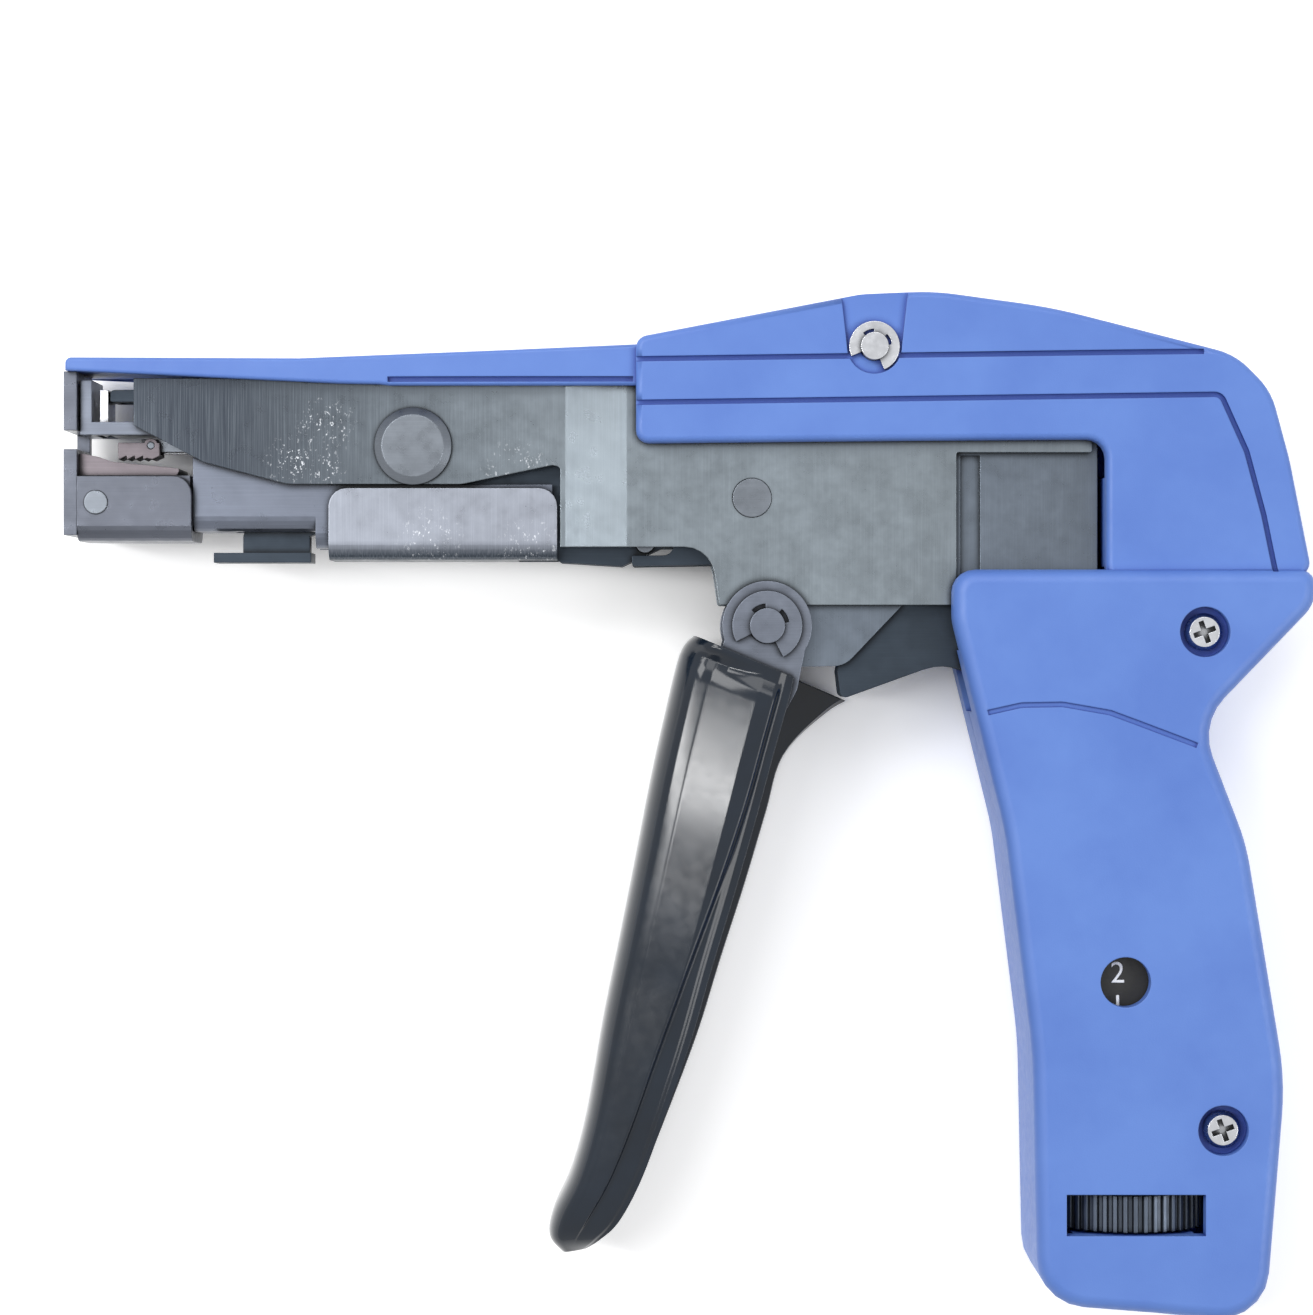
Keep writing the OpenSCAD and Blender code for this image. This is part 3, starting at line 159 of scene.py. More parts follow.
# Outlines of the moulded body. Each point is a share of the outline's length and of its height,
# with its corner radius as a share of the height. AT, SIZE and FACE are in millimetres.
HEAD_AT, HEAD_SIZE, HEAD_FACE = (-6.73, 30.926), (89.2, 36.6), 9.6
GRIP_AT, GRIP_SIZE, GRIP_FACE = (34.87, -66.874), (47.7, 97.8), 11
RAIL_AT, RAIL_SIZE, RAIL_FACE = (-81.93, 55.226), (75.2, 5.4), 8.3
HEAD_TOP = ((0, .64), (0, .834, .045), (.332, .989, .36), (.439, 1, .9), (.613, .942, 2.1),
            (.883, .773, .25), (.936, .643, .25), (.963, .397, .9), (.994, .014, .05),
            (.93, -.22))
HEAD_LOW = ((0, .64), (0, .455, .045), (.124, .458, .03), (.273, .462, .03), (.465, .466, .03),
            (.6932, .469, .069), (.6932, .253, .03), (.6932, .036, .03), (.6932, -.108, .03),
            (.93, -.22))
GRIP_FRONT = ((.524, 1), (0, 1, .049), (0, .932, .08), (.144, .646, .4), (.181, .5, .5),
              (.219, .351, .67), (.233, .014, .068), (.551, .002))
GRIP_REAR = ((.524, 1), (.997, 1, .024), (.999, .954, .054), (.681, .793, .074),
             (.808, .632, .3), (.915, .315, .4), (.86, -.012, .09), (.551, .002))
RAIL = ((0, .366), (0, .683, .195), (.41, .659), (.761, .854), (1.04, 1.024), (1.04, 0),
        (.568, 0), (.55, .03), (.48, .049))

# Share of the shorter side that a corner's round may take, and the half angle of a straight run
CORNER_ROOM, STRAIGHT = .45, 89
# Smallest cosine by which an inset is stretched at a corner
LEAST_MITRE = .6
# A soft block stands clear of the outline, of the face and of the parting plane, in millimetres
CLEAR_SIDE, CLEAR_FACE, PAST_MIDDLE = .02, .004, .3
# Degrees of the points round the edge of a soft block
EDGE_ARC = (15, 30, 45, 60, 75, 84, 90)


def placed(shares, at, size):
    """Outline points in millimetres, each with its corner radius."""
    return [(Vector((at[0] + s[0] * size[0], at[1] + s[1] * size[1])),
             (s[2] if len(s) > 2 else 0) * size[1]) for s in shares]


def bend(before, point, after, radius, steps=5):
    """Points that round one corner, as the solids round it."""
    back, ahead = (before - point).normalized(), (after - point).normalized()
    room = CORNER_ROOM * min((point - before).length, (point - after).length)
    half = math.degrees(math.acos(max(-1, min(1, back.dot(ahead))))) / 2
    reach = room if half > STRAIGHT else min(room, radius / math.tan(math.radians(half)))
    start, end = point + back * reach, point + ahead * reach
    if half > STRAIGHT:
        return [start.lerp(end, i / steps) for i in range(steps + 1)]
    bow = reach * math.tan(math.radians(half))
    centre = point + (back + ahead).normalized() * bow / math.sin(math.radians(half))
    first = math.atan2(*(start - centre).yx)
    turn = (math.atan2(*(end - centre).yx) - first + 3 * math.pi) % (2 * math.pi) - math.pi
    angles = [first + turn * i / steps for i in range(steps + 1)]
    return [centre + bow * Vector((math.cos(angle), math.sin(angle))) for angle in angles]


def chain(points):
    """An open line with its inner corners rounded."""
    inner = [q for i in range(1, len(points) - 1)
             for q in bend(points[i - 1][0], points[i][0], points[i + 1][0], points[i][1])]
    return [points[0][0], *inner, points[-1][0]]


def there_and_back(there, back, at, size):
    """A loop that goes out along one line of shares and comes back along another."""
    return chain(placed(there, at, size)) + chain(placed(back, at, size))[-2:0:-1]


def ring(points):
    """A loop of points, rounded where a point has a radius."""
    count = len(points)
    made = []
    for i, (point, radius) in enumerate(points):
        after = points[(i + 1) % count][0]
        made += bend(points[i - 1][0], point, after, radius) if radius else [point]
    return made


def inset(loop, distance):
    """A clockwise loop moved inwards along its normals."""
    moved = []
    for i, point in enumerate(loop):
        first = (point - loop[i - 1]).normalized()
        second = (loop[(i + 1) % len(loop)] - point).normalized()
        along = (first + second).normalized()
        mitre = max(LEAST_MITRE, first.dot(along))
        moved.append(point + distance / mitre * Vector((along.y, -along.x)))
    return moved


def new_object(name, mesh):
    piece = bpy.data.objects.new(name, mesh)
    bpy.context.scene.collection.objects.link(piece)
    return piece


def mesh_of(name, points, faces):
    mesh = bpy.data.meshes.new(name)
    mesh.from_pydata(points, [], faces)
    mesh.update()
    return mesh


def edited(mesh, change):
    """Makes a change to a mesh in its editable form."""
    work = bmesh.new()
    work.from_mesh(mesh)
    change(work)
    work.to_mesh(mesh)
    work.free()


def face_outwards(mesh):
    edited(mesh, lambda work: bmesh.ops.recalc_face_normals(work, faces=work.faces))


def weld(mesh):
    edited(mesh, lambda work: bmesh.ops.remove_doubles(work, verts=work.verts, dist=WELD))


def is_level(face):
    return abs(face.normal.z) > .9999


def crisp_flats(mesh):
    """Keeps the level faces free of the bend of the rolls beside them."""
    def sharpen(work):
        for edge in work.edges:
            beside = edge.link_faces
            if len(beside) == 2 and is_level(beside[0]) != is_level(beside[1]):
                edge.smooth = False
    edited(mesh, sharpen)


def smooth(mesh, angle=30):
    """Shades a mesh smooth, apart from edges sharper than an angle in degrees."""
    mesh.polygons.foreach_set("use_smooth", [True] * len(mesh.polygons))
    mesh.set_sharp_from_angle(angle=math.radians(angle))
    mesh.update()


def baked(piece, name):
    """The evaluated piece as a plain mesh; the piece itself goes."""
    graph = bpy.context.evaluated_depsgraph_get()
    mesh = bpy.data.meshes.new_from_object(piece.evaluated_get(graph))
    mesh.name = name
    bpy.data.objects.remove(piece)
    return new_object(name, mesh)


def combined(piece, other, operation):
    """Two pieces as one, by a boolean; both of them go."""
    step = piece.modifiers.new("join", "BOOLEAN")
    step.operation, step.object, step.solver = operation, other, "EXACT"
    result = baked(piece, piece.name + "_cut")
    bpy.data.objects.remove(other)
    return result


def soft_block(name, loop, face, edge, side):
    """A block of one outline, from just past the parting plane to its face, with a round edge."""
    levels = [(-CLEAR_SIDE, -PAST_MIDDLE), (-CLEAR_SIDE, face - edge)]
    levels += [(edge * (1 - math.cos(a)) - CLEAR_SIDE, face - edge + edge * math.sin(a) + CLEAR_FACE)
               for a in (math.radians(d) for d in EDGE_ARC)]
    points = [(p.x * MM, p.y * MM, (MID + side * z) * MM)
              for d, z in levels for p in inset(loop, d)]
    count = len(loop)
    faces = [list(range(count)), [len(points) - 1 - i for i in range(count)]]
    for k in range(len(levels) - 1):
        low, high = k * count, (k + 1) * count
        for i in range(count):
            j = (i + 1) % count
            faces.append((low + j, low + i, high + i, high + j))
    piece = new_object(name, mesh_of(name, points, faces))
    face_outwards(piece.data)
    return piece


def check_whole(shell, node):
    """Stops the script where a cut has lost part of a moulding."""
    for axis in range(3):
        reach = [v.co[axis] for v in shell.data.vertices] or [0]
        low, high = (corner[axis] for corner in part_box(node))
        if abs(min(reach) - low) > LOST or abs(max(reach) - high) > LOST:
            raise RuntimeError(node + ": the soft edges took more than the edge away")


def finished(piece, material, body, slot, *nodes):
    """Gives a piece its material, its body and the solids that it stands for. The slot is not used."""
    piece.data.materials.clear()
    piece.data.materials.append(material)
    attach(piece, body)
    if nodes:
        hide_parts(*nodes)
    return piece


def dress(material, *nodes):
    """Puts a material in every slot of some solids."""
    for node in nodes:
        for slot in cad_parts[node].material_slots:
            slot.material = material


# Spans of a noise that make soft clouds, and an even grain
CLOUD, GRAIN = (.35, .65), (.3, .7)
# Noise drawn out along X, along Y, as flecks and as scratches
ROLLED = {"x": (90, 6500, 2000), "y": (6500, 90, 2000)}
FLECKS, SCRATCHES = (2600, 1500, 1200), (3000, 500, 900)
# Reach of the painted shade in a gap of blackened and of bright parts, and the open share that it spans
GAP_SHADE_REACH, FINE_GAP_SHADE_REACH, GAP_SHADE_SPAN = .0011, .0009, (.48, .93)
# Share of a worn spot's radius that is worn all over, and the tone of the flecks there
WORN_CORE, FLECK_TONE = .35, colour(214, 218, 224)


class Nodes:
    """A node tree built node by node."""

    def __init__(self, tree):
        self.tree = tree
        tree.nodes.clear()

    def put(self, socket, value):
        """Gives a socket a value, or links it to another node's output."""
        if isinstance(value, bpy.types.NodeSocket):
            self.tree.links.new(value, socket)
        else:
            socket.default_value = value

    def add(self, kind, sockets=None, **settings):
        node = self.tree.nodes.new(kind)
        for key, value in settings.items():
            setattr(node, key, value)
        for key, value in (sockets or {}).items():
            self.put(node.inputs[key], value)
        return node

    def math(self, operation, first, second, clamp=False):
        return self.add("ShaderNodeMath", {0: first, 1: second}, operation=operation,
                        use_clamp=clamp).outputs[0]

    def ranged(self, value, span, to=(0.0, 1.0)):
        return self.add("ShaderNodeMapRange", {
            "Value": value, "From Min": span[0], "From Max": span[1],
            "To Min": to[0], "To Max": to[1]}).outputs["Result"]


class Finish(Nodes):
    """A material, in the coordinates of the piece that it is on."""

    def __init__(self, name):
        self.material = bpy.data.materials.new(name)
        self.material.use_nodes = True
        super().__init__(self.material.node_tree)
        self.place = self.add("ShaderNodeTexCoord").outputs["Object"]

    def noise(self, scale, detail=3, stretch=None, roughness=.55):
        """Even noise, or noise drawn out by a stretch along each axis."""
        place = self.place
        if stretch:
            place = self.add("ShaderNodeMapping",
                             {"Vector": place, "Scale": stretch}).outputs["Vector"]
        return self.add("ShaderNodeTexNoise", {"Vector": place, "Scale": scale, "Detail": detail,
                                               "Roughness": roughness}).outputs["Fac"]

    def near(self, spot, radius):
        """1 at a spot of the piece, in metres, and 0 from a radius on."""
        away = self.add("ShaderNodeVectorMath", {0: self.place, 1: spot},
                        operation="DISTANCE").outputs["Value"]
        return self.ranged(away, (radius * WORN_CORE, radius), (1.0, 0.0))

    def mixed(self, factor, first, second):
        """Two colours, each a value or an output, mixed by a factor."""
        node = self.add("ShaderNodeMix", data_type="RGBA")
        self.put(node.inputs[0], factor)
        for socket, tone in ((node.inputs[6], first), (node.inputs[7], second)):
            self.put(socket, (*tone, 1) if isinstance(tone, tuple) else tone)
        return node.outputs[2]

    def painted_gap_shade(self, tone, painted_shade_tone, reach=GAP_SHADE_REACH):
        """The tone, turning to a painted shade in gaps and grooves narrower than a reach."""
        open_sky = self.add("ShaderNodeAmbientOcclusion", {"Distance": reach},
                            samples=8).outputs["AO"]
        return self.mixed(self.ranged(open_sky, GAP_SHADE_SPAN, (1.0, 0.0)), tone, painted_shade_tone)

    def bumped(self, height, strength, distance, radius):
        """A bump over edges that are softened by a small radius."""
        edge = self.add("ShaderNodeBevel", {"Radius": radius}, samples=6).outputs["Normal"]
        return self.add("ShaderNodeBump", {"Height": height, "Strength": strength,
                                           "Distance": distance, "Normal": edge}).outputs["Normal"]

    def shaded(self, **sockets):
        """The material, with the sockets of its shader by their names in small letters."""
        values = {key.replace("_", " ").title().replace("Ior", "IOR"): value
                  for key, value in sockets.items()}
        shader = self.add("ShaderNodeBsdfPrincipled", values)
        self.add("ShaderNodeOutputMaterial", {"Surface": shader.outputs["BSDF"]})
        return self.material


def moulded_plastic(name, blue, shade, groove_shade, grain):
    """Blue moulding: soft clouds, fine pits and painted shade in the grooves."""
    finish = Finish(name)
    cloud = finish.ranged(finish.noise(55, 4), CLOUD)
    pits = finish.noise(5200, 2)
    roughness = finish.ranged(finish.noise(900, 3), GRAIN, (.4, .52))
    tone = finish.painted_gap_shade(finish.mixed(cloud, blue, shade), groove_shade)
    return finish.shaded(base_color=tone, roughness=roughness,
                         normal=finish.bumped(pits, grain, .00006, .00025))


def rolled_steel(name, light, painted_shade_tone, brush, along, rough=.32, scuffs=(), step=None, fold=None):
    """Blackened sheet: clouded oxide, rolling marks, painted shade in front of a step along X, below a
    fold along Y and in gaps, and flecks round the worn spots."""
    finish = Finish(name)
    cloud = finish.ranged(finish.noise(70, 6, roughness=.65), (.36, .66))
    tone = finish.mixed(cloud, light, scaled(light, .8))
    spot = finish.add("ShaderNodeSeparateXYZ", {"Vector": finish.place}).outputs
    # Painted shade: darker towards the nose in front of the step, and below the fold
    for axis, span in (("X", step), ("Y", fold)):
        if span:
            tone = finish.mixed(finish.ranged(spot[axis], span, (1.0, 0.0)), tone, painted_shade_tone)
    marks = finish.noise(1, 4, stretch=ROLLED[along])
    tone = finish.mixed(finish.ranged(marks, (.45, .75), (0.0, .35 * brush)), tone,
                        scaled(light, 1.6, 1))
    if scuffs:
        flecks = finish.noise(1, 4, stretch=FLECKS, roughness=.7)
        worn = finish.near(*scuffs[0])
        for scuff in scuffs[1:]:
            worn = finish.math("MAXIMUM", worn, finish.near(*scuff))
        bare = finish.math("MULTIPLY", finish.ranged(flecks, (.6, .65), (0.0, .9)), worn)
        tone = finish.mixed(bare, tone, FLECK_TONE)
    roughness = finish.ranged(finish.noise(420, 4), GRAIN, (rough - .08, rough + .1))
    # Painted shade in the gaps and grooves
    tone = finish.painted_gap_shade(tone, scaled(painted_shade_tone, .08))
    return finish.shaded(base_color=tone, metallic=.7, roughness=roughness,
                         normal=finish.bumped(marks, .12 * brush, .00002, .00018))


def plated_steel(name, tone, rough=.22):
    """Bright plating with fine scratches and painted shade in its gaps."""
    finish = Finish(name)
    cloud = finish.ranged(finish.noise(300, 4), GRAIN)
    shade = scaled(tone, .82)
    scratches = finish.noise(1, 3, stretch=SCRATCHES)
    roughness = finish.ranged(finish.noise(1500, 3), GRAIN, (rough - .06, rough + .08))
    # Painted shade in the narrow gaps round the bright parts
    tone = finish.painted_gap_shade(finish.mixed(cloud, tone, shade), scaled(shade, .06), FINE_GAP_SHADE_REACH)
    return finish.shaded(base_color=tone, metallic=1.0, roughness=roughness,
                         normal=finish.bumped(scratches, .08, .00002, .00012))


def gloss_enamel(name, tone):
    """Black enamel with a slight ripple in its gloss."""
    finish = Finish(name)
    cloud = finish.ranged(finish.noise(90, 3), CLOUD)
    ripple = finish.noise(160, 2)
    roughness = finish.ranged(finish.noise(700, 3), GRAIN, (.1, .14))
    return finish.shaded(base_color=finish.mixed(cloud, tone, scaled(tone, 1.5)),
                         roughness=roughness, specular_ior_level=.38,
                         normal=finish.bumped(ripple, .02, .0002, .0002))


def matt_plastic(name, tone, rough=.5):
    """Small matt mouldings and paint."""
    finish = Finish(name)
    cloud = finish.ranged(finish.noise(600, 3), CLOUD)
    roughness = finish.ranged(finish.noise(1500, 3), GRAIN, (rough - .08, rough + .08))
    return finish.shaded(base_color=finish.mixed(cloud, tone, scaled(tone, 1.3)),
                         roughness=roughness,
                         normal=finish.bumped(finish.noise(4200, 2), .15, .00004, .00015))


class TENSIONER_OT_body(bpy.types.Operator):
    """Moulded halves with soft edges: the solids, cut by round-edged blocks of their outlines"""
    bl_idname = "tensioner.body"
    bl_label = "Moulded body"

    def execute(self, context):
        look = context.scene.tensioner_body
        head = there_and_back(HEAD_TOP, HEAD_LOW, HEAD_AT, HEAD_SIZE)
        grip = there_and_back(GRIP_REAR, GRIP_FRONT, GRIP_AT, GRIP_SIZE)
        rail = ring(placed(RAIL, RAIL_AT, RAIL_SIZE))
        plastic = moulded_plastic("moulded_blue", tuple(look.blue), tuple(look.shade),
                                  tuple(look.groove_shade), look.grain)
        for node, side in (("housing_near", 1), ("housing_far", -1)):
            blocks = soft_block("head_block", head, HEAD_FACE, look.head_edge / MM, side)
            for loop, face, edge in ((grip, GRIP_FACE, look.grip_edge),
                                     (rail, RAIL_FACE, look.rail_edge)):
                block = soft_block("block", loop, face, edge / MM, side)
                blocks = combined(blocks, block, "UNION")
            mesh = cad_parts[node].data.copy()
            weld(mesh)
            shell = combined(new_object(node + "_shell", mesh), blocks, "INTERSECT")
            shell.name = node + "_shell"
            check_whole(shell, node)
            smooth(shell.data)
            crisp_flats(shell.data)
            finished(shell, plastic, "frame", "blue_plastic", node)
        return {"FINISHED"}


# Where the side plates widen, in shares of their length from the nose: the painted shade on their front
# fades out over this span
PLATE_FRONT_SHADE = (.1, .5)
# Painted shade on the clip's lower fold, in metres from its lower edge
CLIP_FOLD_SHADE = (.0006, .0026)
# Worn spots on the near faces of the side plate and of the clip: place and radius, in metres
PLATE_SCUFFS = ((-.0525, .0452, .0040), (-.0478, .0500, .0045), (-.0482, .0441, .0035),
                (-.0222, .0428, .0060))
CLIP_SCUFFS = ((-.0340, .0350, .005), (-.0200, .0330, .006))
# The other steels: material, its tone and the tone of the painted shade in its gaps, rolling direction,
# roughness, nodes
STEELS = (
    ("blackened_bracket", "bracket", "bracket", "y", .32, ("rear_bracket", "pivot_plates")),
    ("blackened_fold", "folded", "painted_shade_tone", "x", .32, ("barrel_channel",)),
    ("blackened_nose", "nose", "nose", "x", .32, ("nose_box", "nose_block", "nose_face")),
    ("blackened_lever", "levers", "levers", "x", .4, ("tension_lever", "cutter_lever")),
    ("bare_steel", "raw", "raw", "x", .36, ("gripper_pawl", "wedge_plate")),
    ("blackened_pin", "pins", "pins", "x", .3,
     ("cutter_rivet", "rocker_rivet", "nose_pin", "drive_arm", "rocker", "rocker_pins", "pull_bar",
      "pawl_pin", "lever_tail_pin")),
    ("blackened_ears", "ears", "ears", "x", .34,
     ("spacer_washers", "trigger_ears", "trigger_pin", "tie_guide", "trigger_pin_clip")),
)


class TENSIONER_OT_steel(bpy.types.Operator):
    """Blackened plates, folded channel, nose, levers and pins"""
    bl_idname = "tensioner.steel"
    bl_label = "Steel barrel"

    def execute(self, context):
        look = context.scene.tensioner_steel
        low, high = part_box("side_plate_near")
        run, top = high[0] - low[0], high[2]
        plate_scuffs, clip_scuffs = ([((x, y, top), radius) for x, y, radius in spots]
                                     for spots in (PLATE_SCUFFS, CLIP_SCUFFS))
        dress(rolled_steel("blackened_plate", tuple(look.plate), tuple(look.painted_shade_tone), look.brush, "y",
                           scuffs=plate_scuffs,
                           step=(low[0] + PLATE_FRONT_SHADE[0] * run, low[0] + PLATE_FRONT_SHADE[1] * run)),
              "side_plate_near", "side_plate_far")
        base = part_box("channel_clip")[0][1]
        # The clip's fold gets painted shade in the tone of the levers
        dress(rolled_steel("worn_clip", tuple(look.worn), tuple(look.levers), look.brush, "y",
                           rough=.34, scuffs=clip_scuffs,
                           fold=(base + CLIP_FOLD_SHADE[0], base + CLIP_FOLD_SHADE[1])), "channel_clip")
        for name, tone, gap_shade, along, rough, nodes in STEELS:
            dress(rolled_steel(name, tuple(getattr(look, tone)), tuple(getattr(look, gap_shade)),
                               look.brush, along, rough=rough), *nodes)
        return {"FINISHED"}


class TENSIONER_OT_fasteners(bpy.types.Operator):
    """Bright plated screws, nuts, pins, clip and springs, and the hardened blade"""
    bl_idname = "tensioner.fasteners"
    bl_label = "Bright parts"

    def execute(self, context):
        # The blade's bright plating is its own, and also stands in for a painted highlight on the edge of
        # the plate at the nose
        dress(plated_steel("bright_plating", tuple(context.scene.tensioner_steel.bright)),
              "housing_screws", "housing_nuts", "upper_pin", "upper_pin_clip", "spring_cap",
              "threaded_rod", "cutter_blade", "pawl_spring", "tension_spring", "trigger_spring")
        return {"FINISHED"}


# The handle, in millimetres: where its rear edge starts, its length, depth and half width, and
# the step from the strip along its rear edge up to the cheek
HANDLE_AT, HANDLE_LENGTH, HANDLE_DEPTH = (14.0336, 16.774), 84, 14.4
HANDLE_HALF, STRIP_STEP = 9.45, .45
# Stations from top to tip: the rear edge in shares of the length, and from there to the front in
# shares of the depth
HANDLE_REAR = ((0, 0), (-.007, -.032), (-.032, -.121), (-.057, -.214), (-.091, -.333),
               (-.128, -.455), (-.162, -.573), (-.208, -.706), (-.241, -.793), (-.274, -.855),
               (-.304, -.886), (-.327, -.905))
HANDLE_DEEP = ((-.909, .385), (-1, .397), (-1, .332), (-.981, .298), (-.926, .251),
               (-.861, .204), (-.808, .175), (-.688, .099), (-.641, .064), (-.614, .058),
               (-.477, 0), (-.228, -.041))
# At the same stations, how far the far cheek reaches past the rear edge, and the width
HANDLE_FAR = (.6, .4, .14, .125, .125, .12, .11, .1, .08, .05, .02, 0)
HANDLE_WIDTH = (1, 1, 1, 1, .98, .96, .93, .9, .87, .8, .66, .4)
# Steps from one station to the next, the share of the depth that the far cheek's reach fades
# over, and the most of the depth that the wall may take
STATION_STEPS, FAR_FADE, MOST_WALL = 6, .1, .45
# Shares of the depth: the panel's edge near the top and near the tip, the lean of the cheek, the
# start of the front roll, the rise from strip to cheek, the soft edge of the panel, and the gap
# from there to the lean
PANEL_EDGE, CHEEK_LEAN, CHEEK_ROLL = (.1, .46), (.27, .69), .66
STRIP_SPAN, EDGE_SOFT, LEAN_GAP = (.06, .14), (-.015, .03), .02
# Shares of the length over which the panel's edge crosses, the panel rises and fades, and the
# lean sets in
EDGE_CROSSES, PANEL_RISES, PANEL_FADES, LEAN_STARTS = (.2, .85), (.07, .105), (.75, .95), (.03, .09)
# Degrees of the lean where it starts and ends, and the power of the roll's curve
LEAN_ANGLES, ROLL_POWER = (13, 21), 2.6
# Points across the depth, closer together on the front roll
HANDLE_ACROSS = [i / 80 for i in range(56)]
HANDLE_ACROSS += [.7 + .3 * math.sin(math.radians(i * 7.5)) for i in range(13)]


def curve_through(points, steps):
    """Points of a smooth curve through its control points."""
    last = len(points) - 1
    made = []
    for i in range(last):
        p, a, b, q = points[max(i - 1, 0)], points[i], points[i + 1], points[min(i + 2, last)]
        for k in range(steps + (i == last - 1)):
            t = k / steps
            made.append(.5 * (2 * a + (b - p) * t + (2 * p - 5 * a + 4 * b - q) * t * t
                              + (3 * a - 3 * b + q - p) * t ** 3))
    return made


def shares_through(shares):
    """Single values along the handle, on the same smooth curve as its stations."""
    return [v.x for v in curve_through([Vector((share, 0)) for share in shares], STATION_STEPS)]


def ramp(value, low, high):
    """0 below a span and 1 above it, with a soft rise between."""
    t = max(0, min(1, (value - low) / (high - low)))
    return t * t * (3 - 2 * t)


def cheek_heights(run, depth, rise):
    """Half widths of the handle across its depth: strip, panel, leaning cheek and front roll."""
    edge = PANEL_EDGE[0] + (PANEL_EDGE[1] - PANEL_EDGE[0]) * ramp(run, *EDGE_CROSSES)
    panel = rise * ramp(run, *PANEL_RISES) * (1 - ramp(run, *PANEL_FADES))
    start, end = max(CHEEK_LEAN[0], edge + LEAN_GAP), CHEEK_LEAN[1]
    heights, drop, before = [], 0, 0
    for u in HANDLE_ACROSS:
        inside = max(0, min(u, end) - max(before, start))
        part = (min(max(u, start), end) - start) / (end - start)
        lean = LEAN_ANGLES[0] + (LEAN_ANGLES[1] - LEAN_ANGLES[0]) * part
        drop += inside * depth * math.tan(math.radians(lean)) * ramp(run, *LEAN_STARTS)
        before = u
        raised = panel * ramp(u, edge + EDGE_SOFT[0], edge + EDGE_SOFT[1])
        height = HANDLE_HALF + STRIP_STEP * ramp(u, *STRIP_SPAN) + raised - drop
        turn = max(0, (u - CHEEK_ROLL) / (1 - CHEEK_ROLL))
        heights.append(height * max(0, 1 - turn ** ROLL_POWER) ** (1 / ROLL_POWER))
    return heights


def handle_mesh(name, rise, wall):
    """The U-shaped sheet: at each station a ring of its outer line and its inner line."""
    at = Vector(HANDLE_AT)
    rear = curve_through([at + HANDLE_LENGTH * Vector(s) for s in HANDLE_REAR], STATION_STEPS)
    deep = curve_through([HANDLE_DEPTH * Vector(s) for s in HANDLE_DEEP], STATION_STEPS)
    width, far = shares_through(HANDLE_WIDTH), shares_through(HANDLE_FAR)
    sides = [(u, 1) for u in HANDLE_ACROSS] + [(u, -1) for u in HANDLE_ACROSS[-2::-1]]
    count, rows = len(sides), len(rear)
    points, faces = [], []

    def add_line(i, line, keep, narrow):
        for u, z in line:
            spot = (rear[i] + deep[i] * u * keep) * MM
            points.append((*spot, (MID + z * narrow) * MM))

    for i in range(rows):
        reach = max(0, far[i])
        keep = 1 - min(MOST_WALL, wall / deep[i].length)
        narrow = 1 - wall / (HANDLE_HALF * width[i])
        cheek = cheek_heights(i / (rows - 1), deep[i].length, rise)
        whole = [(u if side > 0 or u > FAR_FADE else u - reach * (1 - u / FAR_FADE),
                  side * width[i] * height)
                 for (u, side), height in zip(sides, cheek + cheek[-2::-1])]
        add_line(i, whole, 1, 1)
        add_line(i, reversed(whole), keep, narrow)
    ring_size = 2 * count
    for i in range(rows - 1):
        a, b = i * ring_size, (i + 1) * ring_size
        for j in range(ring_size):
            k = (j + 1) % ring_size
            faces.append((a + j, a + k, b + k, b + j))
    for base in (0, (rows - 1) * ring_size):
        faces += [(base + j, base + j + 1, base + ring_size - 2 - j, base + ring_size - 1 - j)
                  for j in range(count - 1)]
    return mesh_of(name, points, faces)


class TENSIONER_OT_handle(bpy.types.Operator):
    """Pressed U-shaped trigger handle with a long raised panel on each side"""
    bl_idname = "tensioner.handle"
    bl_label = "Trigger handle"

    def execute(self, context):
        look = context.scene.tensioner_handle
        name = "trigger_handle_shell"
        shell = new_object(name, handle_mesh(name, look.panel_rise / MM, look.wall / MM))
        face_outwards(shell.data)
        smooth(shell.data, 50)
        finished(shell, gloss_enamel("black_enamel", tuple(look.enamel)), "trigger", "black_paint",
                 "trigger_handle")
        return {"FINISHED"}


# Radii of the tension spring and of its wire
SPRING_RADIUS, WIRE_RADIUS = .0045, .00065
# Points in one turn of the spring, and round its wire
TURN_POINTS, WIRE_POINTS = 32, 12


